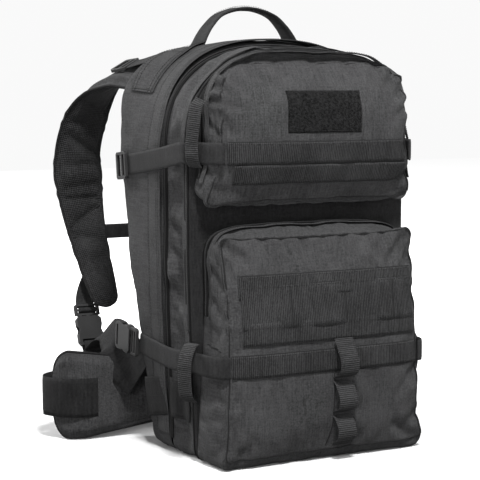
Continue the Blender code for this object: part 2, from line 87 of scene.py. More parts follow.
# ---- driving dimensions, in millimetres, read from the frame ----
LINE_A = extent("main_shell")[0][1] - 0.6  # split between the main and the second compartment
LINE_B = extent("second_shell")[0][1] - 0.6  # split between the second compartment and its panel
PANEL_FRONT = extent("front_panel")[0][1]
POCKET_BACK = extent("lower_pocket")[1][1]
SPRING = 345.0  # height where the shells' arches start
WEB = 25.0  # width of the webbing
LINING_DEPTH = 7.4  # the frame sheet's lining, in front of the back
RIB = 2.3  # pitch of the webbing's ribs
FLAP = 29.0  # width of the flap beside the main zip
BODY, SECOND, FRONT = "pack_body", "second_compartment", "front_section"

# the pack's back, as (height, Y)
REAR_PROFILE = (
    (-12, 84), (14, 85.5), (130, 106.5), (246, 131.3), (345, 145), (410, 140), (450, 124), (480, 100),
)
# each pocket's front, as (height, Y)
LOWER_FRONT = ((0, -103), (90, -102), (150, -99), (200, -92), (260, -80))
UPPER_FRONT = ((296, -74), (335, -86), (395, -87), (430, -79), (460, -58))
# the middle line of a shoulder strap, its widths, and the fall of its outer edge
SHOULDER_PATH = (
    (-84, 139, 416), (-90, 152, 426), (-99, 176, 434), (-113, 206, 434), (-128, 236, 418), (-139, 258, 391),
    (-146, 272, 358), (-148, 280, 325), (-145, 280, 288), (-141, 276, 250), (-138, 264, 215),
    (-136, 248, 184), (-134, 232, 156), (-132, 222, 138),
)
SHOULDER_WIDTHS = (58, 62, 64, 66, 66, 66, 66, 66, 66, 60, 54, 46, 40, 32)
SHOULDER_TILT = (0.5, 0.5, 0.5, 0.5, 0.42, 0.25, 0.1, 0, 0, 0, 0, 0, 0, 0)
# a belt wing in plan, its heights, and the height of its middle
WING_PATH = ((-109, 113), (-128, 123), (-152, 128), (-178, 130), (-205, 134), (-224, 146), (-232, 164))
WING_HEIGHTS = (72, 82, 90, 96, 104, 108, 98)
WING_MIDDLE = 43.2
# the belt's webbing in plan, and the height of its middle
HIP_WEB_PATH = (
    (-190, 123.5), (-208, 125), (-229.5, 137), (-242.5, 159), (-242.5, 172), (-233, 185),
    (-212, 197), (-186, 214), (-165, 229), (-153, 230),
)
HIP_WEB_Z = 41.0
SIDES = ((1, "left"), (-1, "right"))
RAY, LONG_RAY = 140.0, 300.0  # how far off a ray starts: for the pockets' fronts, and for the sides
BUCKLE_MOUTH = (154.0, 237, 124)  # of a shoulder buckle
BUCKLE_UP, BUCKLE_FACE = np.array([0, 0.35, 0.937]), np.array([0, 0.937, -0.35])
BUCKLE_WEB = 24.5
ARC_STEPS, SIDE_STEPS, CORNER_POINTS = 40, 24, 17  # of half an outline
WEB_POINTS, PAD_POINTS, TUBE_POINTS = 9, 25, 8  # across a web's face, across a pad's face and round a tube
STITCH_LIFT = 2.4  # of the handle's stitches, off its middle
CLOTH_FRAMES = 20
NOWHERE = 500.0  # further than any point, for a limit that doesn't bind


def depth_of(points):
    """A profile of (height, Y) as a function of the height."""
    heights, depths = zip(*points)
    return lambda z: np.interp(z, heights, depths)


rear_y, lower_y, upper_y = depth_of(REAR_PROFILE), depth_of(LOWER_FRONT), depth_of(UPPER_FRONT)


# ---- materials ----
class Graph:
    """A material's node tree, with short ways to add nodes to it."""

    def __init__(self, name, roughness, metallic=0.0, sheen=0.0, specular=0.14):
        self.material = bpy.data.materials.new(name)
        self.material.use_nodes = True
        self.nodes = self.material.node_tree.nodes
        self.links = self.material.node_tree.links
        self.shader = self.nodes["Principled BSDF"]
        self.shader.inputs["Roughness"].default_value = roughness
        self.shader.inputs["Metallic"].default_value = metallic
        self.shader.inputs["Specular IOR Level"].default_value = specular
        if sheen:
            self.shader.inputs["Sheen Weight"].default_value = sheen
            self.shader.inputs["Sheen Roughness"].default_value = 0.5

    def put(self, socket, value):
        if isinstance(value, bpy.types.NodeSocket):
            self.links.new(value, socket)
        else:
            socket.default_value = value

    def add(self, kind, output=0, settings=None, **inputs):
        node = self.nodes.new("ShaderNode" + kind)
        for key, value in (settings or {}).items():
            setattr(node, key, value)
        for key, value in inputs.items():
            self.put(node.inputs[key.replace("_", " ")], value)
        return node.outputs[output]

    def math(self, operation, a, b=0.0):
        node = self.nodes.new("ShaderNodeMath")
        node.operation = operation
        self.put(node.inputs[0], a)
        self.put(node.inputs[1], b)
        return node.outputs[0]

    def wave(self, value, pitch):
        """A sine from -1 to 1, whose period is the pitch in metres."""
        return self.math("SINE", self.math("MULTIPLY", value, 2 * math.pi / pitch))

    def uv(self):
        """The mesh's cloth coordinates in metres: along and across."""
        where = self.nodes.new("ShaderNodeUVMap")
        where.uv_map = UV
        split = self.nodes.new("ShaderNodeSeparateXYZ")
        self.links.new(where.outputs[0], split.inputs[0])
        return split.outputs[0], split.outputs[1]

    def noise(self, scale, detail=2.0):
        place = self.nodes.new("ShaderNodeTexCoord").outputs["Object"]
        return self.add("TexNoise", 0, Vector=place, Scale=scale, Detail=detail)

    def streaks(self, along, across, detail=2.0):
        """Noise drawn out along the cloth: its two scales are per metre."""
        u, v = self.uv()
        place = self.nodes.new("ShaderNodeCombineXYZ")
        self.put(place.inputs[0], self.math("MULTIPLY", u, along))
        self.put(place.inputs[1], self.math("MULTIPLY", v, across))
        return self.add("TexNoise", 0, Vector=place.outputs[0], Scale=1.0, Detail=detail)

    def ramp(self, factor, dark, light):
        """A mix between two greys or colours."""
        mix = self.nodes.new("ShaderNodeMix")
        mix.data_type = "RGBA"
        self.put(mix.inputs["Factor"], factor)
        for socket in mix.inputs:
            if socket.type == "RGBA":
                socket.default_value = (*(dark if socket.identifier.startswith("A") else light), 1)
        colour = [s for s in mix.outputs if s.type == "RGBA"][0]
        self.links.new(colour, self.shader.inputs["Base Color"])

    def uneven(self, *terms):
        """0.5, and the sum of (noise, weight) terms about their middle."""
        return self.math("ADD", self.total(*terms), 0.5 - 0.5 * sum(weight for _, weight in terms))

    def bump(self, height, strength, distance):
        made = self.add("Bump", 0, Height=height, Strength=strength, Distance=distance)
        self.links.new(made, self.shader.inputs["Normal"])

    def total(self, *terms):
        """The sum of (socket, weight) terms."""
        result = None
        for socket, weight in terms:
            term = self.math("MULTIPLY", socket, weight)
            result = term if result is None else self.math("ADD", result, term)
        return result


def shade(value, tint=(1.0, 1.0, 1.02)):
    return tuple(value * t for t in tint)


def woven(name, value, pitch=1.5, roughness=0.95, contrast=0.6):
    """Plain-weave pack cloth: crossing yarns, slubs in both directions and a slow change of tone."""
    g = Graph(name, roughness, sheen=0.01, specular=0.035)
    u, v = g.uv()
    yarns = g.math("MULTIPLY", g.wave(u, pitch * MM), g.wave(v, pitch * MM))
    flecks, patches = g.noise(520.0, 3.0), g.noise(16.0, 3.0)
    warp, weft = g.streaks(620.0, 45.0), g.streaks(45.0, 620.0)
    tone = g.uneven((flecks, 1.5), (patches, 0.6), (warp, 1.0), (weft, 0.55))
    g.ramp(g.math("ADD", tone, g.math("MULTIPLY", yarns, 0.2)), shade(value * (1 - contrast)),
           shade(value * (1 + contrast)))
    g.bump(g.total((yarns, 0.6), (flecks, 1.2), (warp, 0.8)), 0.6, 0.0005)
    return g.material


def ribbed(name, value, pitch=RIB, roughness=0.9, strength=0.8):
    """Webbing: cords across its length, and a finer yarn on them."""
    g = Graph(name, roughness, sheen=0.005, specular=0.05)
    u, v = g.uv()
    cords = g.wave(u, pitch * MM)
    yarns = g.math("MULTIPLY", g.wave(v, 1.1 * MM), g.wave(u, pitch * MM * 0.5))
    flecks, patches = g.noise(450.0), g.noise(20.0)
    tone = g.uneven((flecks, 1.4), (patches, 0.8), (g.streaks(300.0, 40.0), 0.9))
    # The cords also set the colour: painted shade in the grooves between them and painted light on their tops.
    tone = g.math("ADD", tone, g.total((cords, 0.4), (yarns, 0.1)))
    g.ramp(tone, shade(value * 0.35), shade(value * 1.65))
    g.bump(g.total((cords, 1.0), (yarns, 0.35), (flecks, 0.5)), strength, 0.0005)
    return g.material


def spacer(name, value):
    """Spacer mesh: small round holes in slanted rows."""
    g = Graph(name, 0.93, sheen=0.005, specular=0.05)
    u, v = g.uv()
    slant, back = g.math("ADD", u, v), g.math("SUBTRACT", u, v)
    holes = g.math("MULTIPLY", g.wave(slant, 4.8 * MM), g.wave(back, 4.8 * MM))
    tone = g.math("ADD", g.uneven((g.noise(25.0), 0.9), (g.noise(300.0), 1.0)), g.math("MULTIPLY", holes, 0.55))
    g.ramp(tone, shade(value * 0.1), shade(value * 2.7))
    g.bump(g.total((holes, 1.0), (g.noise(500.0), 0.3)), 0.8, 0.0006)
    return g.material


def pile(name, value):
    """Loop pile: a tangle of fine loops with tufts."""
    g = Graph(name, 1.0, sheen=0.005, specular=0.05)
    fine, tufts = g.noise(900.0, 4.0), g.noise(330.0, 2.0)
    g.ramp(g.uneven((fine, 2.0), (tufts, 3.2)), shade(value * 0.2), shade(value * 2.6))
    g.bump(g.total((fine, 1.0), (tufts, 0.9)), 1.0, 0.0014)
    return g.material


def moulded(name, value, roughness=0.4, metallic=0.0):
    """Moulded plastic or coated metal: faint grain, and edges painted paler, partly as wear and partly as painted
    highlight.
    """
    g = Graph(name, roughness, metallic, specular=0.10)
    # Pointiness lightens the edges: partly wear, partly painted highlight on the rims.
    edges = g.nodes.new("ShaderNodeNewGeometry").outputs["Pointiness"]
    edge_wear_and_highlight = g.math("MULTIPLY", g.math("SUBTRACT", edges, 0.5), 5.0)
    patches = g.noise(60.0, 4.0)
    tone = g.total((edge_wear_and_highlight, 1.0), (patches, 0.7))
    g.ramp(g.math("MAXIMUM", tone, 0.0), shade(value * 0.7), shade(value * 1.7))
    g.bump(g.noise(420.0, 2.0), 0.12, 0.0003)
    return g.material


CLOTH = woven("cloth", 0.0135)
# A shaded copy of the pack cloth at well under half its tone: painted shade.
CLOTH_PAINTED_SHADE = woven("cloth_painted_shade", 0.0055)
LINING = woven("lining", 0.014, pitch=1.0, roughness=0.8, contrast=0.3)
BINDING = ribbed("binding", 0.004, pitch=1.4, strength=0.4)
WEBBING = ribbed("webbing", 0.0102)
SMOOTH_WEB = ribbed("smooth_webbing", 0.0068, pitch=1.1, strength=0.4)
ELASTIC = ribbed("elastic", 0.0044, pitch=1.6, strength=0.4)
MESH = spacer("spacer_mesh", 0.0042)
LOOP = pile("loop_pile", 0.0017)
# The zip tapes' own dark colour, also used as painted shade on the panel's piping and on the main zip's tape low down.
ZIP_TAPE_AND_PAINTED_SHADE = ribbed("zip_tape", 0.0012, pitch=1.2, strength=0.5)
COIL = moulded("zip_coil", 0.003, 0.7)
PLASTIC = moulded("acetal", 0.004, 0.55)
METAL = moulded("coated_metal", 0.010, 0.5, 0.5)
# Dark thread for the stitches, also used for thick tubes that are painted shade in the seams' grooves and painted
# shadow lines.
THREAD_AND_PAINTED_SHADE = moulded("dark_thread_and_painted_shade", 0.002, 0.9)
SHEET = moulded("frame_plastic", 0.012, 0.6)


# ---- geometry helpers ----
def unit(vectors):
    vectors = np.asarray(vectors, float)
    return vectors / np.maximum(np.linalg.norm(vectors, axis=-1, keepdims=True), 1e-9)


def length_of(points):
    return np.linalg.norm(np.diff(points, axis=0), axis=1).sum()


def distances(points):
    """How far along a polyline each of its points is."""
    return np.concatenate([[0], np.cumsum(np.linalg.norm(np.diff(points, axis=0), axis=1))])


def resample(points, count):
    """Points evenly spaced along a polyline: count + 1 of them."""
    points = np.asarray(points, float)
    along = distances(points)
    where = np.linspace(0, along[-1], count + 1)
    return np.stack([np.interp(where, along, points[:, k]) for k in range(points.shape[1])], 1)


def smooth_path(points, step):
    """A smooth curve through the points (Catmull-Rom), with a point every step millimetres."""
    p = np.asarray(points, float)
    p = np.vstack([2 * p[0] - p[1], p, 2 * p[-1] - p[-2]])
    t = np.linspace(0, 1, 12, endpoint=False)[:, None]
    runs = []
    for a, b, c, d in zip(p, p[1:], p[2:], p[3:]):
        runs.append(0.5 * (2 * b + (c - a) * t + (2 * a - 5 * b + 4 * c - d) * t**2
                           + (3 * b - a - 3 * c + d) * t**3))
    fine = np.vstack([*runs, p[-2:-1]])
    return resample(fine, max(4, int(round(length_of(fine) / step))))


def spread(values, count):
    """Values given at evenly spread stations, interpolated to count places."""
    values = np.asarray(values, float)
    if values.ndim == 0:
        return np.full(count, float(values))
    x = np.linspace(0, 1, len(values))
    where = np.linspace(0, 1, count)
    if values.ndim == 1:
        return np.interp(where, x, values)
    return np.stack([np.interp(where, x, values[:, k]) for k in range(values.shape[1])], 1)


def smoothed(values, width=9):
    """A moving average that keeps both ends."""
    padded = np.vstack([np.repeat(values[:1], width, 0), values, np.repeat(values[-1:], width, 0)])
    kernel = np.ones(width) / width
    cols = [np.convolve(padded[:, k], kernel, "same")[width:-width] for k in range(values.shape[1])]
    return np.stack(cols, 1)


def quads(index, uv):
    """Faces over a table of vertex numbers, and each face corner's cloth coordinates in metres."""
    def corners(table):
        return np.stack([table[:-1, :-1], table[:-1, 1:], table[1:, 1:], table[1:, :-1]], 2)
    return corners(index).reshape(-1, 4), corners(uv).reshape(-1, 4, 2) * MM


def on_side(points, side):
    """Points or creases given on the side of positive X, on the side asked for."""
    return [(side * p[0], *p[1:]) for p in points]


def link(name, data):
    obj = bpy.data.objects.new(name, data)
    bpy.context.scene.collection.objects.link(obj)
    return obj


def stand_for(obj, body, node=()):
    """Puts a piece on its body, unless it is blended, and hides the CAD node that it stands for."""
    if body:
        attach(obj, body)
    if node:
        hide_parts(node)
    return obj


def make_object(name, points, patches, materials, body, node=()):
    """An object from points in millimetres and patches of (faces, cloth coordinates, material number)."""
    mesh = bpy.data.meshes.new(name)
    faces = np.vstack([p[0] for p in patches])
    mesh.from_pydata(to_world(points).tolist(), [], faces.tolist())
    layer = mesh.uv_layers.new(name=UV)
    layer.data.foreach_set("uv", np.vstack([p[1].reshape(-1, 2) for p in patches]).ravel())
    mesh.polygons.foreach_set("material_index", np.concatenate([np.full(len(p[0]), p[2]) for p in patches]))
    for material in materials:
        mesh.materials.append(material)
    mesh.polygons.foreach_set("use_smooth", [True] * len(faces))
    bm = bmesh.new()
    bm.from_mesh(mesh)
    bmesh.ops.recalc_face_normals(bm, faces=bm.faces)
    bm.to_mesh(mesh)
    bm.free()
    return stand_for(link(name, mesh), body, node)


def swept(rings):
    """Vertices and patches of a solid swept through rings of equal length, with end caps."""
    count, around = rings.shape[:2]
    index = np.arange(count * around).reshape(count, around)
    index = np.hstack([index, index[:, :1]])
    loop = np.concatenate([rings, rings[:, :1]], 1)
    along = distances(rings.mean(1))
    across = np.concatenate([np.zeros((count, 1)), np.cumsum(np.linalg.norm(np.diff(loop, axis=1), axis=2), 1)], 1)
    uv = np.stack([np.repeat(along[:, None], around + 1, 1), across], 2)
    patches = [quads(index, uv)]
    half = around // 2
    for end in (index[0, :-1], index[-1, :-1]):
        pairs = np.stack([end[:half], end[::-1][:half]])
        patches.append(quads(pairs, np.zeros((2, half, 2))))
    return rings.reshape(-1, 3), patches


def solid(name, rings, material, body, node=()):
    """A solid swept through rings, in one material."""
    points, patches = swept(rings)
    return make_object(name, points, [(*p, 0) for p in patches], [material], body, node)


def frames_along(path, across):
    """Directions along, across and out of a band, at each of its points."""
    run = unit(np.gradient(path, axis=0))
    if np.ndim(across) > 1:
        side = spread(across, len(path))
    else:
        side = np.repeat(np.asarray([across], float), len(path), 0)
    side = unit(side - run * (side * run).sum(1, keepdims=True))
    return run, side, np.cross(run, side)


def ribbon(name, points, across, width, thick, body, material=None, node=(), step=0.8, ribs=0.12,
           curl=0.0, straight=False):
    """Webbing along a path. ribs is the height of its cords, and curl lifts its middle against its edges."""
    path = resample(points, int(length_of(points) / step)) if straight else smooth_path(points, step)
    _, side, out = frames_along(path, across)
    widths = spread(width, len(path))[:, None, None] / 2
    u = np.concatenate([np.linspace(-1, 1, WEB_POINTS), np.linspace(1, -1, WEB_POINTS)])
    face = np.repeat([1.0, -1.0], WEB_POINTS)
    edge = np.maximum((1 - np.abs(u) ** 6) ** 0.5, 0.35)
    cords = np.cos(2 * np.pi * distances(path) / RIB)[:, None] * ribs * (np.abs(u) < 0.97)
    lift = face * (thick / 2 * edge + cords) + curl * (1 - u**2)
    rings = path[:, None] + side[:, None] * widths * u[None, :, None] + out[:, None] * lift[:, :, None]
    return solid(name, rings, material or WEBBING, body, node)


def tube(name, points, radius, body, material=None, closed=False, step=2.0):
    """Piping or a sewn seam along a path."""
    path = np.asarray(points, float)
    if closed:
        path = np.vstack([path, path[:1]])
    path = resample(path, int(length_of(path) / step))
    run = unit(np.gradient(path, axis=0))
    reference = np.where(np.abs(run[:, 1:2]) > 0.9, [[1.0, 0, 0]], [[0, 1.0, 0]])
    side = unit(reference - run * (reference * run).sum(1, keepdims=True))
    out = np.cross(run, side)
    turn = np.linspace(0, 2 * np.pi, TUBE_POINTS, endpoint=False)
    rings = path[:, None] + radius * (side[:, None] * np.cos(turn)[None, :, None]
                                      + out[:, None] * np.sin(turn)[None, :, None])
    return solid(name, rings, material or BINDING, body)


# ---- stitching ----
STITCHES = {}


def stitch(body, path, normal, pitch=3.4, length=2.5, radius=0.34):
    """Adds a run of stitches along a path. normal is the way out of the cloth, one or one per point."""
    path = np.asarray(path, float)
    count = max(1, int(length_of(path) / pitch))
    run = resample(path, count * 2)
    centres = run[1::2]
    normals = unit(spread(normal, count) if np.ndim(normal) > 1 else np.repeat([normal], count, 0))
    run = unit(run[2::2] - run[:-2:2])
    STITCHES.setdefault(body, []).append((centres, run, normals, length, radius))


def sew():
    """Makes one object of all the stitches on each body."""
    for body, runs in sorted(STITCHES.items()):
        points, faces, start = [], [], 0
        for centres, run, normals, length, radius in runs:
            side = np.cross(run, normals)
            for c, r, n, s in zip(centres, run, normals, side):
                ring = [s * radius, n * radius * 0.8, -s * radius, -n * radius * 0.5]
                points.append(c - r * length * 0.5)
                points.extend(c - r * length * 0.3 + k for k in ring)
                points.extend(c + r * length * 0.3 + k for k in ring)
                points.append(c + r * length * 0.5)
                for k in range(4):
                    j = (k + 1) % 4
                    faces.append((start, start + 1 + k, start + 1 + j))
                    faces.append((start + 1 + k, start + 5 + k, start + 5 + j, start + 1 + j))
                    faces.append((start + 9, start + 5 + j, start + 5 + k))
                start += 10
        mesh = bpy.data.meshes.new("stitching_dark_" + body)
        mesh.from_pydata(to_world(points).tolist(), [], faces)
        mesh.materials.append(THREAD_AND_PAINTED_SHADE)
        stand_for(link(mesh.name, mesh), body)


# ---- compartments: lofted tubs ----
def outline(half, foot, top, low=FLOOR, spring=SPRING, power=2.5, corner=16.0):
    """The left half of an outline as (x, z), from the middle of its base to the middle of its top, and the
    numbers of the points where its base ends and where its top starts."""
    turn = np.radians(np.linspace(0, 90, CORNER_POINTS))
    base = np.stack([-(foot - corner) - corner * np.sin(turn), low + corner - corner * np.cos(turn)], 1)
    share = np.linspace(0, 1, SIDE_STEPS + 1)[1:]
    side = np.stack([-(foot + (half - foot) * np.minimum(1, 1.6 * share)),
                     low + corner + (spring - low - corner) * share], 1)
    bend = np.radians(np.linspace(0, 90, ARC_STEPS + 1))[1:]
    arc = np.stack([-half * np.cos(bend) ** (2 / power), spring + (top - spring) * np.sin(bend) ** (2 / power)], 1)
    points = np.vstack([[[0.0, low]], base, side, arc])
    base_end, top_start = 1 + CORNER_POINTS // 2, CORNER_POINTS + SIDE_STEPS + ARC_STEPS // 2
    return points, base_end, top_start


def ring(shape, depth, across, up):
    """A closed ring of points: along the base, up the right, along the top and down the left."""
    points, first, second = outline(**shape)
    base = resample(points[: first + 1], across // 2)
    side = resample(points[first : second + 1], up)
    top = resample(points[second:], across // 2)
    mirror = np.array([-1.0, 1.0])
    base = np.vstack([base[::-1], base[1:] * mirror])
    top = np.vstack([top, top[-2::-1] * mirror])
    loop = np.vstack([base[:-1], (side * mirror)[:-1], top[::-1][:-1], side[::-1][:-1]])
    y = depth(loop[:, 1]) if callable(depth) else np.full(len(loop), float(depth))
    return np.stack([loop[:, 0], y, loop[:, 1]], 1)


def cap_grid(loop, across, up):
    """Fills a ring with a grid (a Coons patch). Returns a table of points, rows upwards."""
    base, right = loop[: across + 1], loop[across : across + up + 1]
    top = loop[across + up : 2 * across + up + 1][::-1]
    left = np.vstack([loop[2 * across + up :], loop[:1]])[::-1]
    s = np.linspace(0, 1, across + 1)[None, :, None]
    t = np.linspace(0, 1, up + 1)[:, None, None]
    grid = (1 - t) * base[None] + t * top[None] + (1 - s) * left[:, None] + s * right[:, None]
    grid -= ((1 - s) * (1 - t) * base[0] + s * (1 - t) * base[-1] + (1 - s) * t * top[0] + s * t * top[-1])
    return grid


FLARE_SHARES = ((1, 1.0), (2, 0.8), (3, 0.35), (4, 0.15))  # of the last rings, by their place from the end


def tub(name, stations, across, up, bulge, body, node, cloth=None, materials=None, flare=()):
    """A soft tub: open at its first station, closed at its last one by a face that bulges outwards.
    A station is (shape, depth, steps to the next station, pinned or not). cloth is what soften() takes."""
    rings, pinned = [], []
    for (shape, depth, steps, pin), after in zip(stations, stations[1:]):
        here, there = ring(shape, depth, across, up), ring(after[0], after[1], across, up)
        if pin:
            pinned.append(len(rings))
        rings += [here + (there - here) * (k / steps) for k in range(steps)]
    if stations[-1][3]:
        pinned.append(len(rings))
    rings.append(ring(stations[-1][0], stations[-1][1], across, up))
    if flare:
        for back, share in FLARE_SHARES:
            rings[-back] = flared(rings[-back], [(x, z, dx * share, dz * share) for x, z, dx, dz in flare])
    rings = np.array(rings)
    around = rings.shape[1]
    index = np.arange(rings.shape[0] * around).reshape(-1, around)
    looped = np.hstack([index, index[:, :1]])
    closed = np.concatenate([rings, rings[:, :1]], 1)
    v = np.concatenate([[0], np.cumsum(np.linalg.norm(np.diff(rings, axis=0), axis=2).mean(1))])
    uv = np.stack(np.meshgrid(distances(closed.mean(0)), v), 2)
    face = cap_grid(rings[-1], across, up)
    s = np.abs(np.linspace(-1, 1, across + 1))[None, :]
    t = np.abs(np.linspace(-1, 1, up + 1))[:, None]
    face[:, :, 1] += bulge * ((1 - s**2.4) * (1 - t**2.8)) ** 0.8
    inner = face[1:-1, 1:-1].reshape(-1, 3)
    edge = index[-1]
    table = np.empty((up + 1, across + 1), int)
    table[1:-1, 1:-1] = index.size + np.arange(len(inner)).reshape(up - 1, across - 1)
    table[0] = edge[: across + 1]
    table[:, -1] = edge[across : across + up + 1]
    table[-1] = edge[across + up : 2 * across + up + 1][::-1]
    table[:, 0] = np.append(edge[2 * across + up :], edge[0])[::-1]
    patches = [(*quads(looped, uv), 0), (*quads(table, face[:, :, [0, 2]]), 0)]
    points = np.vstack([rings.reshape(-1, 3), inner])
    obj = make_object(name, points, patches, materials or [CLOTH, LINING], body, node)
    if cloth:
        soften(obj, [int(n) for r in pinned for n in index[r]], **cloth)
    return obj, rings


# ---- cloth ----
SOFT = []


def soften(obj, pins, pressure, cap, grow):
    """Books a piece for the cloth simulation: its pinned points, the air pressure in it, how far a point
    may move in millimetres, and how much larger its cloth is cut than its frame."""
    SOFT.append((obj, pins, pressure, cap, grow))


def simulate():
    """Blows the booked pieces up for a few frames and keeps the shape. No point moves further than its cap."""
    scene = bpy.context.scene
    rest = {}
    for obj, pins, pressure, _, grow in SOFT:
        rest[obj.name] = coordinates(obj.data)
        group = obj.vertex_groups.new(name="pins")
        group.add(pins, 1.0, "REPLACE")
        cloth = obj.modifiers.new("cloth", "CLOTH")
        settings = cloth.settings
        settings.quality = 5
        settings.mass = 0.3
        settings.tension_stiffness = settings.compression_stiffness = 12.0
        settings.shear_stiffness = 6.0
        settings.bending_stiffness = 0.6
        settings.vertex_group_mass = "pins"
        settings.use_pressure = True
        settings.uniform_pressure_force = pressure
        settings.shrink_min = -grow
        settings.effector_weights.gravity = 0.0
        cloth.collision_settings.use_collision = False
        cloth.point_cache.frame_start, cloth.point_cache.frame_end = 1, CLOTH_FRAMES
    for step in range(1, CLOTH_FRAMES + 1):
        scene.frame_set(step)
    depsgraph = bpy.context.evaluated_depsgraph_get()
    for obj, _, _, cap, _ in SOFT:
        moved = coordinates(obj.evaluated_get(depsgraph).data) - rest[obj.name]
        far = np.linalg.norm(moved, axis=1, keepdims=True)
        moved *= np.minimum(1, cap * MM / np.maximum(far, 1e-9))
        obj.modifiers.clear()
        obj.vertex_groups.clear()
        set_coordinates(obj.data, rest[obj.name] + moved)
    scene.frame_set(1)


def coordinates(mesh, kind="co"):
    flat = np.empty(len(mesh.vertices) * 3, np.float64)
    mesh.vertices.foreach_get(kind, flat)
    return flat.reshape(-1, 3)


def set_coordinates(mesh, points):
    points = to_world(from_world(points))
    mesh.vertices.foreach_set("co", np.asarray(points, np.float32).ravel())
    mesh.update()


def fold(obj, creases, wrinkle=0.0, scale=30.0, between=(-NOWHERE, NOWHERE)):
    """Presses creases into a piece: each is (from, to, width, depth) in millimetres, and a negative depth
    raises a ridge. Ends given as (x, z) lie on the face that looks forwards. wrinkle adds a slow
    unevenness of that height, with a few sharper lines in it. Nothing moves outside the two depths of
    between, where the zips are sewn on."""
    points, normals = from_world(coordinates(obj.data)), coordinates(obj.data, "normal")
    push = np.zeros(len(points))
    for start, end, width, depth in creases:
        start, end = np.array(start, float), np.array(end, float)
        where, facing = points, 1.0
        if len(start) == 2:
            where, facing = points[:, [0, 2]], np.clip(-1.6 * normals[:, 1], 0, 1)
        along = np.clip(((where - start) @ (end - start)) / ((end - start) @ (end - start)), 0, 1)
        gap = np.linalg.norm(where - start - along[:, None] * (end - start), axis=1)
        taper = facing * (0.3 + 0.7 * np.sin(np.pi * np.clip(0.2 + 0.8 * along, 0.02, 0.98)) ** 0.5)
        press = np.exp(-((gap / width) ** 2)) - 0.35 * np.exp(-(((gap - 1.9 * width) / width) ** 2))
        push -= 1.3 * depth * press * taper
    if wrinkle:
        for k, p in enumerate(points):
            slow = noise.noise(Vector(p) / scale)
            sharp = noise.noise(Vector((p[0], p[1], p[2] * 0.55)) / scale / 1.6)
            push[k] += wrinkle * (1.3 * slow - 1.1 * max(0.0, 1 - abs(sharp) * 7) * (0.5 + slow))
    free = np.clip((points[:, 1] - between[0]) / 9, 0, 1) * np.clip((between[1] - points[:, 1]) / 9, 0, 1)
    set_coordinates(obj.data, to_world(points + normals * (push * free)[:, None]))


def finish_cloth(obj, wall=0.0):
    """Smooths a piece, and gives an open one its wall and lining."""
    if wall:
        solidify = obj.modifiers.new("wall", "SOLIDIFY")
        solidify.thickness = wall * MM
        solidify.offset = -1.0
        solidify.material_offset = 1
    smooth = obj.modifiers.new("smooth", "SUBSURF")
    smooth.levels = smooth.render_levels = 1


def surface(obj):
    """A tree for finding a piece's surface."""
    mesh = obj.data
    return BVHTree.FromPolygons([v.co.copy() for v in mesh.vertices], [tuple(p.vertices) for p in mesh.polygons])


def hit(tree, point, direction, reach=RAY):
    """Where a ray meets a surface, in millimetres, and its normal there. The ray starts outside."""
    way = Vector(direction).normalized()
    place, normal, _, _ = tree.ray_cast(Vector(to_world(point)) - way * reach * MM, way)
    if place is None:
        return np.array(point, float), -np.array(way)
    out = np.array(normal)
    return from_world(place), out if out @ np.array(way) < 0 else -out


# ---- the soft compartments ----
def flared(loop, places, radius=24.0):
    """Draws out a ring's corners. A place is (x, z, move along x, move along z)."""
    loop = loop.copy()
    for x, z, dx, dz in places:
        near = np.exp(-(((loop[:, 0] - x) ** 2 + (loop[:, 2] - z) ** 2) / radius**2))
        loop[:, 0] += dx * near
        loop[:, 2] += dz * near
    return loop


def build_main():
    first = dict(half=149, foot=141, top=471)
    middle = dict(half=152, foot=142, top=475, power=2.8)
    third = dict(half=153, foot=140, top=469, power=4.2)
    fourth = dict(half=149.5, foot=136, top=466, low=FLOOR + 3, power=4.2)
    last = dict(half=142, foot=129, top=459, low=FLOOR + 9, power=4.2)
    stations = [
        (first, LINE_A + 0.6, 4, True), (middle, lambda z: (LINE_A + rear_y(z)) / 2, 8, False),
        (third, lambda z: rear_y(z) - 13, 2, False), (fourth, lambda z: rear_y(z) - 4, 2, False),
        (last, lambda z: rear_y(z) - 0.5, 1, True),
    ]
    return tub("main_compartment", stations, 52, 66, 0.0, BODY, "main_shell",
               dict(pressure=3.0, cap=3.0, grow=0.006))


def build_second():
    first = dict(half=146, foot=139, top=464)
    waist = dict(half=143.5, foot=138, top=462.5)
    third = dict(half=148, foot=141, top=466.5)
    last = dict(half=143, foot=135, top=462, low=FLOOR + 4)
    stations = [
        (first, LINE_B + 0.6, 3, True), (waist, LINE_B + 24, 6, False), (third, LINE_A - 10, 2, True),
        (third, LINE_A - 5, 1, True), (last, LINE_A - 0.8, 1, True),
    ]
    return tub("second_compartment_shell", stations, 52, 80, 0.0, SECOND, "second_shell",
               dict(pressure=-1.5, cap=7.0, grow=0.035))


def build_panel():
    shape = dict(half=146, foot=139, top=464)
    stations = [(shape, PANEL_FRONT + 2.4, 1, True), (shape, PANEL_FRONT, 1, True)]
    # The panel's cloth is the shaded copy: painted shade for the dark gap between the pockets.
    return tub("front_panel_cloth", stations, 44, 66, -1.0, FRONT, "front_panel", materials=[CLOTH_PAINTED_SHADE, LINING])


# corners that are drawn out: (x, z, move along x, move along z)
LOWER_CORNERS = ((-128, 252, -4, 3), (128, 252, 7, 5), (-131, -8, -3, -1), (131, -8, 7, 0))
UPPER_CORNERS = ((-124, 447, 2, -4), (122, 447, 4, 3), (-133, 288, -3, -3), (133, 288, 4, 2))


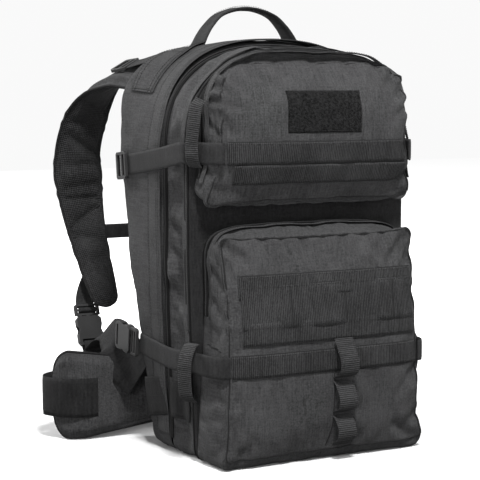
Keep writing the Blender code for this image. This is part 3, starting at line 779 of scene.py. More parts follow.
def build_lower_pocket():
    back = dict(half=129, foot=138, top=262, spring=232, power=3.4, corner=12)
    near = dict(half=129, foot=137.5, top=259, spring=231, power=3.6, corner=12)
    waist = dict(half=126.5, foot=136.5, top=255, spring=230, power=4.2, corner=12)
    under = dict(half=128, foot=134, top=252, spring=234, low=FLOOR + 1, power=6.0, corner=10)
    front = dict(half=128, foot=131, top=250, spring=236, low=FLOOR + 10, power=7.0, corner=6)
    stations = [
        (back, POCKET_BACK, 2, True), (near, POCKET_BACK - 10, 5, False),
        (waist, lambda z: (POCKET_BACK - 6 + lower_y(z)) / 2, 5, False),
        (under, lambda z: lower_y(z) + 9, 1, False), (front, lambda z: lower_y(z) + 4.5, 1, True),
    ]
    return tub("lower_pocket_cloth", stations, 62, 62, -5.0, FRONT, "lower_pocket",
               dict(pressure=3.5, cap=5.0, grow=0.022), flare=LOWER_CORNERS)


def build_upper_pocket():
    back = dict(half=131, foot=141, top=459, low=294, spring=372, power=3.1, corner=12)
    near = dict(half=131, foot=141, top=458, low=291, spring=373, power=3.2, corner=12)
    waist = dict(half=130, foot=139, top=456, low=287, spring=378, power=3.8, corner=12)
    under = dict(half=129, foot=137, top=452, low=285.5, spring=384, power=4.4, corner=10)
    front = dict(half=126, foot=135, top=449, low=288.5, spring=386, power=4.6, corner=6)
    stations = [
        (back, POCKET_BACK, 2, True), (near, POCKET_BACK - 9, 4, False),
        (waist, lambda z: (POCKET_BACK - 2 + upper_y(z)) / 2, 4, False),
        (under, lambda z: upper_y(z) + 17, 1, False), (front, lambda z: upper_y(z) + 12, 1, True),
    ]
    return tub("upper_pocket_cloth", stations, 62, 40, -13.0, FRONT, "upper_pocket",
               dict(pressure=4.0, cap=6.0, grow=0.022), flare=UPPER_CORNERS)


def pad(name, path, across, widths, thick, body, node, creases=(), inner_first=True, margin=8.5, radius=14.0,
        puff=1.0):
    """A foam pad between an outer cloth and a mesh face, with a flat bound margin round a raised middle.
    A crease is (height, width, depth, slant)."""
    line = smooth_path(path, 3.0)
    _, side, out = frames_along(line, across)
    along = distances(line)
    left = np.minimum(along[-1] - along, radius)
    half = spread(widths, len(line)) / 2
    half = half - radius + np.sqrt(np.maximum(radius**2 - (radius - left) ** 2, 1.0))
    u = np.linspace(-1, 1, PAD_POINTS)
    rise = np.clip((half[:, None] * (1 - np.abs(u)) - margin * 0.55) / (margin * 0.9), 0, 1)
    rise = rise**2 * (3 - 2 * rise)
    ends = np.clip(np.minimum(along, along[-1] - along - 2) / 14, 0, 1)[:, None]
    press = np.zeros((len(line), PAD_POINTS))
    for height, width, depth, slant in creases:
        gap = line[:, None, 2] - height + slant * half[:, None] * u
        press = np.maximum(press, depth * np.exp(-np.abs(gap / width) ** 1.5))
    lift = (0.24 + 0.8 * puff * rise * (1 - 0.86 * press) * np.sqrt(ends)) * thick / 2
    pinch = 1 - 0.07 * press.max(1)
    flat = line[:, None] + side[:, None] * (half * pinch)[:, None, None] * u[None, :, None]
    lift = out[:, None] * lift[:, :, None]
    points, patches = swept(np.concatenate([flat + lift, (flat - lift)[:, ::-1]], 1))
    faces, uvs = patches[0]
    around = 2 * PAD_POINTS
    first = np.tile(np.arange(around), len(line) - 1) < PAD_POINTS - 1
    layers = [(faces[first], uvs[first], 0), (faces[~first], uvs[~first], 1)] + [(*p, 1) for p in patches[1:]]
    materials = [MESH, CLOTH] if inner_first else [CLOTH, MESH]
    obj = make_object(name, points, layers, materials, body, node)
    edges = [r * around + c for r in range(len(line)) for c in (0, PAD_POINTS - 1, PAD_POINTS, around - 1)]
    soften(obj, edges, pressure=5.0, cap=1.5, grow=0.015)
    half = half * pinch
    rim = [line + side * half[:, None] * k for k in (-1, 1)]
    rows = [line + side * (half - margin * 0.8)[:, None] * k for k in (-1, 1)]
    return obj, np.vstack([rim[0], rim[1][::-1]]), rows, out


def sew_rows(body, rows, out, used, lift):
    """Stitches along both edges of a pad, on both of its faces."""
    for line in rows:
        for way in (-1, 1):
            stitch(body, line[used] + out[used] * way * lift, out[used] * way)


def build_shoulder(side, label):
    creases = [(398, 8, 0.8, 0.3), (375, 7, 1.0, 0.0), (347, 7, 1.0, 0.5), (318, 8, 0.5, 0.0), (290, 7, 1.0, 0.0),
               (274, 6, 1.0, 0.1), (250, 7, 1.0, -0.5), (222, 7, 0.95, 0.2), (196, 6, 0.7, 0.0)]
    obj, rim, rows, out = pad("shoulder_pad_" + label, on_side(SHOULDER_PATH, side),
                              [(side, 0, tilt) for tilt in SHOULDER_TILT], SHOULDER_WIDTHS, 13.0, BODY,
                              "shoulder_strap_" + label, creases, inner_first=side > 0, puff=1.25)
    tube("shoulder_binding_" + label, rim, 1.9, BODY)
    line, way = (rows[0] + rows[1]) / 2, unit(rows[1] - rows[0])
    reach = np.linalg.norm(rows[1] - rows[0], axis=1) / 2 + 3
    rising = 400 * (line[:, 1] < 215)  # keeps the search off the stretch over the shoulder
    for k, (height, _, depth, slant) in enumerate(creases):
        if depth < 0.9:
            continue
        for face in (-1, 1):
            seam = []
            for u in np.linspace(-1, 1, 9):
                at = int(np.argmin(np.abs(line[:, 2] - height + slant * reach * u) + rising))
                seam.append(line[at] + way[at] * reach[at] * u + out[at] * face * 2.2)
            tube(f"quilting_seam_{k}_{face + 1}_{label}", seam, 0.9, BODY, THREAD_AND_PAINTED_SHADE)
    sew_rows(BODY, rows, out, slice(3, -8), 2.0)
    return obj


def build_wing(side, label):
    belt = "hip_belt_" + label
    path = [(side * x, y, WING_MIDDLE) for x, y in WING_PATH]
    obj, rim, rows, out = pad("hip_pad_" + label, path, (0, 0, 1), WING_HEIGHTS, 12.0, belt,
                              "hip_wing_" + label, (), inner_first=side > 0, margin=7.0, radius=26.0)
    tube("hip_binding_" + label, rim, 1.8, belt)
    sew_rows(belt, rows, out, slice(2, -12), 2.2)
    return obj


MAIN, MAIN_RINGS = build_main()
SECOND_TUB, SECOND_RINGS = build_second()
PANEL, PANEL_RINGS = build_panel()
LOWER, LOWER_RINGS = build_lower_pocket()
UPPER, UPPER_RINGS = build_upper_pocket()
PADS = []
for SIDE, LABEL in SIDES:
    PADS += [build_shoulder(SIDE, LABEL), build_wing(SIDE, LABEL)]
simulate()
for PAD in PADS:
    finish_cloth(PAD)

# Creases of the filled pack: slanting folds in the second compartment's side, pinches at the corners of
# the pockets, and soft pulls that run from their seams.
MAIN_CREASES = (
    ((152, 40, 400), (152, 90, 330), 10, 1.6), ((148, 30, 150), (146, 80, 120), 9, 1.8),
    ((152, 34, 300), (152, 52, 180), 6, 1.5), ((143, 30, 22), (141, 76, 12), 5, 1.6),
)
SECOND_CREASES = (
    ((146, 20, 264), (146, -22, 250), 4.5, 4.5), ((146, 20, 236), (146, -24, 218), 5, 4.8),
    ((146, 2, 279), (146, -8, 274), 9, -2.5), ((146, 8, 208), (146, -4, 200), 9, -2.5),
    ((146, 16, 305), (146, -20, 296), 5, 3.0), ((146, 12, 190), (146, -22, 168), 6, 3.6),
    ((146, 10, 150), (146, -20, 132), 6, 2.6), ((138, 12, 418), (143, -22, 385), 6, 3.0),
    ((146, -24, 400), (146, -26, 140), 4, 2.0), ((147, 2, 360), (147, 0, 330), 9, 2.5),
    ((142, 6, 20), (142, -22, 10), 5, 2.5),
)
fold(MAIN, [(*on_side(crease[:2], side), *crease[2:]) for crease in MAIN_CREASES for side in (-1, 1)],
     wrinkle=1.5, scale=48.0, between=(LINE_A + 20, 400.0))
for SIGN in (-1, 1):
    fold(SECOND_TUB, [(*on_side(crease[:2], SIGN), *crease[2:]) for crease in SECOND_CREASES],
         wrinkle=1.8, scale=24.0, between=(LINE_B + 2, LINE_A - 7))
fold(LOWER, [
    ((-131, 249), (-100, 224), 5.0, 4.2), ((-130, 240), (-118, 200), 4.5, 3.2), ((-108, 246), (-92, 226), 4.5, -1.6),
    ((-74, 246), (-62, 220), 5, 2.2), ((-50, 246), (-42, 228), 4.5, 1.5), ((-22, 246), (-12, 220), 5, 2.2),
    ((8, 246), (2, 226), 5, 1.8), ((34, 246), (22, 216), 5, 2.4), ((62, 246), (50, 222), 5, 2.0),
    ((92, 246), (70, 214), 5, 2.6), ((134, 250), (92, 216), 5.5, 4.4), ((132, 238), (112, 206), 5, 3.2),
    ((-129, 178), (-118, 168), 4, 1.8), ((128, 180), (118, 160), 5, 2.0), ((-128, 92), (-116, 62), 5, 1.8),
    ((-100, 90), (-96, 60), 8, 1.2), ((-66, 90), (-72, 40), 9, 1.0), ((-120, -8), (-98, 20), 6, 2.2),
    ((60, 90), (66, 50), 8, 1.4), ((126, 88), (100, 58), 6, 2.4), ((136, -6), (92, 22), 6, 3.2),
    ((130, 30), (98, 8), 5, 2.0), ((30, -8), (44, 18), 7, 1.4), ((-40, -8), (-50, 18), 8, 1.2),
    ((-122, -62, 250), (-128, -84, 236), 5, 3.0), ((130, -70, 238), (124, -88, 214), 6, 3.0),
    ((-129, -50, 236), (-131, -54, 130), 4.5, 3.6), ((129, -50, 236), (131, -54, 130), 4.5, 3.6),
    ((-130, -60, 84), (-131, -92, 60), 6, 2.4), ((-131, -56, 40), (-131, -94, 14), 6, 2.8),
    ((-129, -60, 214), (-129, -88, 190), 5, 2.2), ((-130, -62, 176), (-130, -92, 160), 5, 1.8),
], wrinkle=1.1, scale=27.0, between=(-NOWHERE, POCKET_BACK - 5))
fold(UPPER, [
    ((-132, 405), (-98, 395), 4.0, 3.0), ((-132, 396), (-112, 366), 4, 3.0), ((-116, 438), (-92, 414), 5, 3.0),
    ((-128, 424), (-108, 408), 4.5, 2.6), ((-84, 450), (-70, 428), 5, 2.2), ((-46, 452), (-36, 430), 5, 1.6),
    ((6, 452), (12, 430), 6, 1.6), ((52, 450), (44, 428), 5, 1.8), ((96, 448), (76, 424), 5, 2.4),
    ((124, 446), (98, 420), 5, 3.4), ((128, 424), (106, 404), 5, 3.0), ((128, 398), (104, 384), 5, 2.2),
    ((-132, 306), (-108, 300), 5, 2.0), ((132, 318), (104, 300), 6, 2.6), ((-60, 292), (-40, 304), 6, 1.2),
    ((40, 290), (64, 304), 6, 1.4), ((134, 290), (110, 300), 5, 2.4),
    ((-130, -46, 404), (-128, -72, 405), 4.0, 2.8), ((-130, -46, 391), (-128, -72, 366), 4.5, 3.2),
    ((-130, -46, 424), (-122, -72, 418), 4.5, 3.0), ((-136, -48, 330), (-134, -76, 318), 6, 2.6),
    ((-130, -46, 372), (-134, -52, 330), 5, 2.6), ((130, -46, 404), (128, -76, 396), 5, 3.2),
], wrinkle=1.2, scale=27.0, between=(-NOWHERE, POCKET_BACK - 5))


def rings_now(obj, rings):
    """A tub's rings as they are after the cloth simulation and the creases."""
    return from_world(coordinates(obj.data))[: rings.shape[0] * rings.shape[1]].reshape(rings.shape)


MAIN_RINGS, SECOND_RINGS = rings_now(MAIN, MAIN_RINGS), rings_now(SECOND_TUB, SECOND_RINGS)
PANEL_RINGS, LOWER_RINGS = rings_now(PANEL, PANEL_RINGS), rings_now(LOWER, LOWER_RINGS)
UPPER_RINGS = rings_now(UPPER, UPPER_RINGS)
TREES = {"main": surface(MAIN), "second": surface(SECOND_TUB), "lower": surface(LOWER), "upper": surface(UPPER)}
finish_cloth(MAIN, 2.2)
finish_cloth(SECOND_TUB, 2.0)
finish_cloth(PANEL)
finish_cloth(LOWER, 1.8)
finish_cloth(UPPER, 1.8)


# ---- seams and zips ----
def front_of(tree, x, z):
    """The point of a piece's front at a place, and the normal there."""
    return hit(TREES[tree], (x, 0, z), (0, 1, 0))


def seam_piping():
    for name, loop in (("lower_pocket", LOWER_RINGS[-1]), ("upper_pocket", UPPER_RINGS[-1])):
        centre = loop.mean(0)
        inward = unit(centre - loop)
        edge = loop + inward * 0.9 + [0, 0.5, 0]
        tube(name + "_piping", edge, 1.0, FRONT, CLOTH, closed=True, step=1.6)
        # The thread tubes beside the piping are thick and dark: partly the seams' thread, partly painted shade in the
        # grooves there.
        tube(name + "_seam", loop + inward * 2.3 + [0, -1.2, 0], 0.65, FRONT, THREAD_AND_PAINTED_SHADE, closed=True, step=1.6)
        tube(name + "_side_seam", loop + inward * 0.6 + [0, 2.6, 0], 0.5, FRONT, THREAD_AND_PAINTED_SHADE, closed=True, step=1.6)
    # The panel's piping takes the darkest tape colour: painted shade along the seam between the second compartment and
    # the panel.
    tube("panel_piping", PANEL_RINGS[0] + [0, 0.2, 0], 1.3, FRONT, ZIP_TAPE_AND_PAINTED_SHADE, closed=True)
    base_seam = np.array([hit(TREES["lower"], (0, y, 127.5 + (y + 45) * 0.1), (1, 0, 0), LONG_RAY)[0]
                          for y in range(-50, -88, -3)])
    # The base's seams and dart are thick dark thread tubes too: partly thread, partly painted shade in their grooves.
    tube("base_seam_left", base_seam + [-0.2, 0, 0], 0.6, FRONT, THREAD_AND_PAINTED_SHADE, step=1.5)
    tube("base_seam_right", base_seam * [-1, 1, 1] + [0.2, 0, 0], 0.6, FRONT, THREAD_AND_PAINTED_SHADE, step=1.5)
    dart = [front_of("lower", x, z)[0] for x, z in ((7, 92), (7, 60), (5, 30), (0, 8), (-5, -6))]
    tube("base_dart", smooth_path(dart, 3.0) + [0, -0.2, 0], 0.55, FRONT, THREAD_AND_PAINTED_SHADE, step=1.5)
    tube("back_piping", MAIN_RINGS[-2], 1.6, BODY, BINDING, closed=True)


def above(loop, height):
    """The stretch of a ring above a height, from its lower left end over the top to its lower right end."""
    keep = loop[loop[:, 2] > height]
    return keep[np.argsort(np.arctan2(keep[:, 0], keep[:, 2] - height + 40))]


def edge_band(name, loop, y0, y1, start, thick, lift, body, material, node=()):
    """A band laid round a compartment's edge, from y0 to y1, above the height start. Returns its line and
    the way out at each point."""
    run = above(loop, start).copy()
    run[:, 1] = (y0 + y1) / 2
    step = np.gradient(run, axis=0)
    out = unit(np.stack([-step[:, 2], 0 * step[:, 0], step[:, 0]], 1))
    run = smoothed(run, 5) + out * (lift + thick / 2)
    ribbon(name, run, (0, 1, 0), abs(y1 - y0), thick, body, material, node=node, step=2.0, ribs=0.0,
           straight=True)
    return run, out


def at_depth(run, y):
    return np.stack([run[:, 0], np.full(len(run), float(y)), run[:, 2]], 1)


def coil(name, run, out, body):
    """A zip's coil along a line."""
    fine = resample(run + out * 0.5, int(length_of(run) / 0.7))
    way = unit(np.gradient(fine, axis=0))
    side = np.repeat([[0.0, 1.0, 0.0]], len(fine), 0)
    up = np.cross(way, side)
    turn = np.linspace(0, 2 * np.pi, 6, endpoint=False)
    beads = (1.0 + 0.28 * np.cos(np.arange(len(fine)) * 2 * np.pi / 3))[:, None, None]
    rings = fine[:, None] + beads * (side[:, None] * 1.5 * np.cos(turn)[None, :, None]
                                     + up[:, None] * 0.8 * np.sin(turn)[None, :, None])
    solid(name + "_coil", rings, COIL, body)


def zips():
    """Each zip: its dark tape and coil, and the cloth flap that half covers them."""
    # The main zip's front tape runs down to a height of 2 to fill a gap there; low down its dark colour is painted
    # shade.
    run, out = edge_band("main_zip_front_tape", SECOND_RINGS[-3], LINE_A - 10.0, LINE_A - 0.8, 2, 1.0, 0.3, SECOND,
                         ZIP_TAPE_AND_PAINTED_SHADE)
    coil("main_zip", at_depth(run, LINE_A - 2.6), out, SECOND)
    run, out = edge_band("second_zip_back_tape", SECOND_RINGS[0], LINE_B + 1.0, LINE_B + 9.5, 138, 1.0, 0.3, SECOND,
                         ZIP_TAPE_AND_PAINTED_SHADE, "second_zip_tape")
    coil("second_zip", at_depth(run, LINE_B + 2.6), out, SECOND)
    edge_band("second_zip_flap", SECOND_RINGS[1], LINE_B + 3.0, LINE_B + 12.5, 120, 1.1, 1.9, SECOND, CLOTH)
    for name, rings, start in (("lower_pocket", LOWER_RINGS, 156), ("upper_pocket", UPPER_RINGS, 312)):
        run, out = edge_band(name + "_tape", rings[1], POCKET_BACK - 12.0, POCKET_BACK - 1.6, start, 0.9, 0.4, FRONT,
                             ZIP_TAPE_AND_PAINTED_SHADE, name + "_zip_tape")
        coil(name + "_zip", at_depth(run, POCKET_BACK - 7.5), out, FRONT)
        run, out = edge_band(name + "_flap", rings[3], POCKET_BACK - 21.0, POCKET_BACK - 11.6, start - 4, 1.1, 1.2,
                             FRONT, CLOTH)
        stitch(FRONT, at_depth(run, POCKET_BACK - 19.4) + out * 0.8, out)
    run, out = edge_band("main_zip_flap", MAIN_RINGS[2], LINE_A - 2.0, LINE_A + FLAP, 4, 1.5, 0.8, BODY, CLOTH,
                         "main_zip_tape")
    for y in (2.0, 6.5, FLAP - 2.0):
        stitch(BODY, at_depth(run, LINE_A + y) + out, out)


seam_piping()
zips()


# ---- webbing on the surfaces ----
FORWARDS = np.array([0, -1.0, 0])
ROW_LIFT = 0.4  # how far a row of webbing stands off its pocket


def laid(tree, xs, low, high):
    """The middle line and the across vectors of a row of webbing that lies on a pocket's front, from its
    lower edge at one height to its upper edge at another."""
    middle, across = [], []
    for x in xs:
        a, b, c = (front_of(tree, x, z)[0] for z in (low, high, (low + high) / 2))
        centre = (a + b) / 2
        centre[1] = min(centre[1], c[1]) - ROW_LIFT
        middle.append(centre)
        across.append(b - a)
    return np.array(middle), np.array(across)


def row(name, tree, x0, x1, low, high, thick, node=(), tacks=(), sewn=(-1, 1)):
    """A row of webbing across a pocket, sewn down at its tacks and along its edges."""
    middle, across = laid(tree, np.linspace(x0, x1, int((x1 - x0) / 4) + 1), low, high)
    middle = smoothed(middle, 5)
    middle[:, 1] -= thick / 2
    across = smoothed(across, 5)
    width = high - low
    ribbon(name, middle, across, width, thick, FRONT, node=node, ribs=0.28)
    for x in tacks:
        centre, up = (np.array([np.interp(x, middle[:, 0], line[:, k]) for k in range(3)])
                      for line in (middle, across))
        up = unit(up)
        for shift in (-0.7, 0.7):
            ends = [centre + up * (width / 2 - 1.5) * way + [shift, -thick / 2 - 0.1, 0] for way in (-1, 1)]
            stitch(FRONT, ends, FORWARDS, pitch=1.5, length=1.7, radius=0.42)
    for share in sewn:
        line = middle + unit(across) * (width / 2 - 1.8) * share + [0, -thick / 2 - 0.2, 0]
        stitch(FRONT, line, FORWARDS, pitch=3.2, length=2.0, radius=0.3)
        # A thin dark tube along each long edge: a painted shadow line under the webbing's edge.
        edge = middle + unit(across) * (width / 2 + 0.35) * share + [0, thick / 2 - 0.5, 0]
        tube(f"{name}_painted_shadow_line_{share + 1}", edge, 0.5, FRONT, THREAD_AND_PAINTED_SHADE, step=2.5)


def front_rows():
    """Webbing rows on the two pockets: 25 mm rows, with a double row lying over the others' edges."""
    row("upper_front_row", "upper", -121, 123, 333, 358, 1.6)
    row("upper_second_row", "upper", -112, 124, 309.5, 332.4, 1.4, node="upper_molle_row", tacks=(-4,), sewn=(-1,))
    row("lower_row_top", "lower", -116, 124, 183, 208, 1.4, node="lower_molle_panel", sewn=(1,))
    row("lower_row_bottom", "lower", -114, 124, 130, 155, 1.4, sewn=(-1,))
    row("lower_row_double", "lower", -114, 122, 147, 196.5, 1.5, tacks=(-48, 24, 92))
    row("lower_front_row", "lower", -127, 127, 94, 119, 1.6, tacks=(24,))


def patch():
    """The loop panel: a pile with fuzz on it, sewn down round its edge."""
    left, right, foot, head = -46, 54, 368, 416
    xs, zs = np.linspace(left, right, 41), np.linspace(foot, head, 21)
    grid = np.array([[front_of("upper", x, z)[0] for x in xs] for z in zs])
    grid[:, :, 1] -= 0.6
    rng = np.random.default_rng(7)
    fuzz = grid.copy()
    fuzz[1:-1, 1:-1, 1] -= 1.1 + rng.uniform(-0.25, 0.25, fuzz[1:-1, 1:-1, 1].shape)
    back = grid + [0, 0.5, 0]
    solid("hook_and_loop_patch", np.concatenate([fuzz, back[:, ::-1]], 1), LOOP, FRONT, "loop_patch")
    inset = 2
    left, right, foot, head = left + inset, right - inset, foot + inset, head - inset
    corners = [(left, foot), (right, foot), (right, head), (left, head)]
    for (xa, za), (xb, zb) in zip(corners, corners[1:] + corners[:1]):
        path = [front_of("upper", xa + (xb - xa) * k, za + (zb - za) * k)[0] + [0, -1.9, 0]
                for k in np.linspace(0, 1, 12)]
        stitch(FRONT, path, FORWARDS)


def compression_straps():
    """The plain stretches of the compression straps along the pack's sides."""
    upper = [(-159.2, 100, 327), (-159.2, 60, 331.5), (-159, 10, 338), (-156.2, -32, 345), (-150, -45, 345.5),
             (-140, -55, 345.5), (-134.5, -68, 345.5), (-130, -79, 345.5), (-124.5, -84, 345.5)]
    lower = [(-159.2, 66, 114), (-159.2, 30, 111), (-158.5, -5, 108), (-155, -34, 106.5), (-150, -46, 106.5),
             (-145, -60, 106.5), (-142, -84, 106.5), (-136.5, -97, 106.5), (-127.5, -102, 106.5)]
    for side, label in SIDES:
        for level, path in (("upper", upper), ("lower", lower)):
            ribbon(f"{level}_side_strap_{label}", on_side(path, side), (0, 0, 1), WEB, 1.5, FRONT, SMOOTH_WEB,
                   node=level + "_compression_strap" if side == 1 else (), ribs=0.05)


def keepers():
    """The webbing loops that hold the compression straps. The upper right one lies flatter."""
    upper = [(-143, -62, 406), (-149, -61, 397), (-152, -60, 376), (-153, -58, 356), (-152, -57, 340),
             (-145, -51, 330)]
    flatter = [(-138, -46, 406), (-142, -46, 397), (-144, -46, 376), (-149, -46, 356), (-152, -46, 340),
               (-145, -46, 330)]
    lower = [(-146, -47, 128), (-152, -50, 126), (-160, -54, 112), (-161, -54, 90), (-158, -52, 70),
             (-150, -47, 62)]
    for side, label in SIDES:
        for name, path, width in (("upper_keeper_", upper if side > 0 else flatter, 17), ("lower_keeper_", lower, 18)):
            ribbon(name + "webbing_" + label, on_side(path, side), (side * 0.55, -1.0, 0), width, 1.8, FRONT,
                   node=name + label, ribs=0.34)
    stitch(FRONT, [(-146.5, -63.5, 401), (-151.5, -55, 401)], (-1, -0.6, 0.3), pitch=1.3, length=1.5, radius=0.5)


def gear_loops():
    """Webbing sewn down at four places, so that it stands out as three loops."""
    x, base = middle_of("gear_loop_strip")[0], extent("gear_loop_strip")[1][1] - 0.8
    path = [(x, base - out, z) for out, z in (
        (4.6, 131), (9, 124), (19, 106), (17, 92), (5, 86.5), (0, 83), (9, 76), (17, 62), (15, 51), (4, 46),
        (0, 42), (9, 35), (15, 24), (12, 14), (3, 9), (0, 5))]
    ribbon("gear_loops", path, (1, 0, 0), WEB, 1.7, FRONT, node="gear_loop_strip", ribs=0.25)


def cross_band(name, tree, side, stations, thick, body, lift, node=()):
    """An elastic band laid across a side, through stations of (Y, low height, high height)."""
    table = np.array(sorted(stations), float)
    middle, across = [], []
    for y in np.linspace(stations[0][0], stations[-1][0], 15):
        low, high = np.interp(y, table[:, 0], table[:, 1]), np.interp(y, table[:, 0], table[:, 2])
        a, b, c = (hit(TREES[tree], (0, y, z), (side, 0, 0), LONG_RAY)[0] for z in (low, high, (low + high) / 2))
        centre = (a + b) / 2
        centre[0] = -side * (max(abs(centre[0]), abs(c[0])) + lift + thick / 2)
        middle.append(centre)
        across.append(b - a)
    middle, across = smoothed(np.array(middle), 3), smoothed(np.array(across), 3)
    ribbon(name, middle, across, np.linalg.norm(across, axis=1), thick, body, ELASTIC, node=node, ribs=0.04)
    for share in (0.0, -0.46, 0.46):
        stitch(body, middle + across * share + [-side * (thick / 2 + 0.3), 0, 0], (-side, 0, 0))


def side_bands():
    for side, label in SIDES:
        cross_band("side_elastic_" + label, "main", side, [(LINE_A + 1, 33, 80), (50, 28, 75), (76, 22, 70)], 1.3,
                   BODY, 2.6, "side_band_" + label)
        cross_band("gusset_elastic_" + label, "second", side, [(LINE_B + 4, 33, 80), (LINE_A - 2, 33, 80)], 1.2,
                   SECOND, 1.8)


front_rows()
patch()
compression_straps()
keepers()
gear_loops()
side_bands()


# ---- handle, harness and belt ----
def haul_handle():
    """The grip, and its legs sewn down over the pack's shoulders."""
    half = [(-68, 470), (-65, 475), (-60, 484), (-52, 495), (-38, 508), (-18, 515.5)]
    arch = [*half, (0, 517.5), *on_side(half[::-1], -1)]
    widths = [36, 33, 30, 27, 24, 22, 21, 21, 21, 22, 24, 27, 30, 33, 36]
    y = middle_of("haul_handle")[1]
    grip = ribbon("haul_handle_webbing", [(x, y - 3 * (abs(x) / 70) ** 2, z) for x, z in arch], (0, 1, 0), widths,
                  4.2, None, SMOOTH_WEB, node="haul_handle", curl=-1.6)
    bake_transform(grip)
    for shift in (-5.0, 5.0):
        fine = smooth_path([(x, y + shift - 3 * (abs(x) / 80) ** 2, z) for x, z in arch], 3.0)[9:-9]
        _, _, out = frames_along(fine, (0, 1, 0))
        face = np.sign(out[:, 2:] + 1e-6)
        stitch("haul_handle", fine + out * face * STITCH_LIFT, out * face)
    for side, label in SIDES:
        handle_leg(side, label)


def handle_leg(side, label):
    angles = np.radians(np.linspace(63, 25, 26))
    middle, across, outs = [], [], []
    for a in angles:
        way = (side * math.cos(a), 0, -math.sin(a))
        (rear, _), (front, _), (centre, normal) = (
            hit(TREES["main"], (0, y, SPRING), way, LONG_RAY) for y in (109, 64, 87))
        middle.append((rear + front + centre) / 3)
        across.append(rear - front)
        outs.append(normal)
    outs = unit(smoothed(np.array(outs), 3))
    away = np.clip((np.degrees(angles) - 50) / 13, 0, 1)[:, None]
    middle = smoothed(np.array(middle), 3) + outs * (1.4 + 3.0 * away**2)
    across = np.array(across)
    width = 46.0 - 20.0 * away[:, 0] ** 1.3
    ribbon("handle_leg_" + label, middle, across, width, 1.7, BODY, CLOTH, ribs=0.0)
    sideways = unit(across)
    for shift in (-0.43, -0.3, 0.3, 0.43):
        stitch(BODY, middle + sideways * (width * shift)[:, None] + outs * 1.15, outs, radius=0.55)
    for k in (3, 9, 24):
        line = [middle[k] + sideways[k] * width[k] * h + outs[k] * 1.1 for h in (-0.43, 0.43)]
        stitch(BODY, line, outs[k], pitch=1.8, length=1.7, radius=0.42)
    for a, b in ((3, 9), (9, 3)):
        line = [middle[a] + sideways[a] * width[a] * -0.3 + outs[a] * 1.2,
                middle[b] + sideways[b] * width[b] * 0.3 + outs[b] * 1.2]
        stitch(BODY, line, outs[6], pitch=2.6)


def load_lifters():
    path = [(-84, 128, 452), (-88, 141, 457), (-98, 160, 455), (-108, 181, 450), (-111, 192, 448.5)]
    for side, label in SIDES:
        across = [(side, 0, 0.2), (side, 0, 0.5), (side, 0, 0.5)]
        ribbon("load_lifter_" + label, on_side(path, side), across, WEB, 1.5, BODY, SMOOTH_WEB,
               node="load_lifter_webbing_" + label, ribs=0.05)


def lower_straps():
    """The cloth tab from the pack's side to each shoulder buckle, and the webbing through the buckle."""
    low_edge = [(-150.5, 86, 36), (-158, 100, 46), (-168, 112, 59), (-173, 119, 86), (-171, 138, 98),
                (-168, 156, 106), (-167, 176, 105), (-166, 196, 98), (-166, 221, 83)]
    high_edge = [(-151, 89, 98), (-152, 99, 108), (-152, 112, 117), (-151, 131, 125), (-150, 153, 130),
                 (-149, 168, 128), (-146, 182, 121), (-143, 196, 106), (-142, 221, 84)]
    # both as (along the buckle, out of its face), from its mouth
    through_plug = ((18, 3.4), (13.6, 2.7), (11.5, 0), (9.9, -2.8), (8.4, -3.3), (6.8, -2.8), (5.3, 0),
                    (3.6, 2.8), (1, 4.5), (-4, 5.5), (-24, 5.7), (-38, 8.0))
    through_socket = ((-50, -1.8), (-44, -3.4), (-38, -5.3), (-34, -4.8), (-32.5, 0), (-34, 4.8), (-38, 5.3),
                      (-44, 3.4), (-50, 1.4))
    from_pad = [(-136, 249, 190), (-138, 255, 178), (-143.5, 256, 165), (-150, 252.5, 151)]
    for side, label in SIDES:
        low, high = smooth_path(on_side(low_edge, side), 1.5), smooth_path(on_side(high_edge, side), 1.5)
        count = min(len(low), len(high)) - 1
        low, high = resample(low, count), resample(high, count)
        across = high - low
        # The tab takes the shaded copy of the cloth: painted shade.
        ribbon("strap_tab_" + label, (low + high) / 2, across, np.linalg.norm(across, axis=1), 1.8, BODY,
               CLOTH_PAINTED_SHADE, node="lower_strap_" + label, ribs=0.0, straight=True)
        mouth = np.array(BUCKLE_MOUTH) * [-side, 1, 1]
        plug, socket = ([mouth + BUCKLE_UP * a + BUCKLE_FACE * h for a, h in path]
                        for path in (through_plug, through_socket))
        webbing = ribbon("shoulder_webbing_" + label, on_side(from_pad, side) + plug, (1, 0, 0), BUCKLE_WEB, 1.4,
                         None, SMOOTH_WEB, ribs=0.06)
        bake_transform(webbing)
        ribbon("tab_loop_" + label, socket, (1, 0, 0), BUCKLE_WEB - 0.5, 1.3, BODY, SMOOTH_WEB, ribs=0.06)


def sternum():
    _, y, z = middle_of("sternum_webbing_left")
    for label, path in (("left", [(-160, y, z), (-100, y, z), (-31.5, y, z)]),
                        ("right", [(160, y + 3, z), (100, y + 3, z), (6, y + 3, z)])):
        ribbon("sternum_" + label, path, (0, 0, 1), 19, 1.4, "sternum_strap", SMOOTH_WEB,
               node="sternum_webbing_" + label, ribs=0.05)


def hip_webbing():
    for side, label in SIDES:
        points = [(side * x, y, HIP_WEB_Z) for x, y in HIP_WEB_PATH]
        ribbon("hip_strap_" + label, points, (0, 0, 1), 48, 1.7, "hip_belt_" + label, ELASTIC,
               node="hip_webbing_" + label, ribs=0.06)


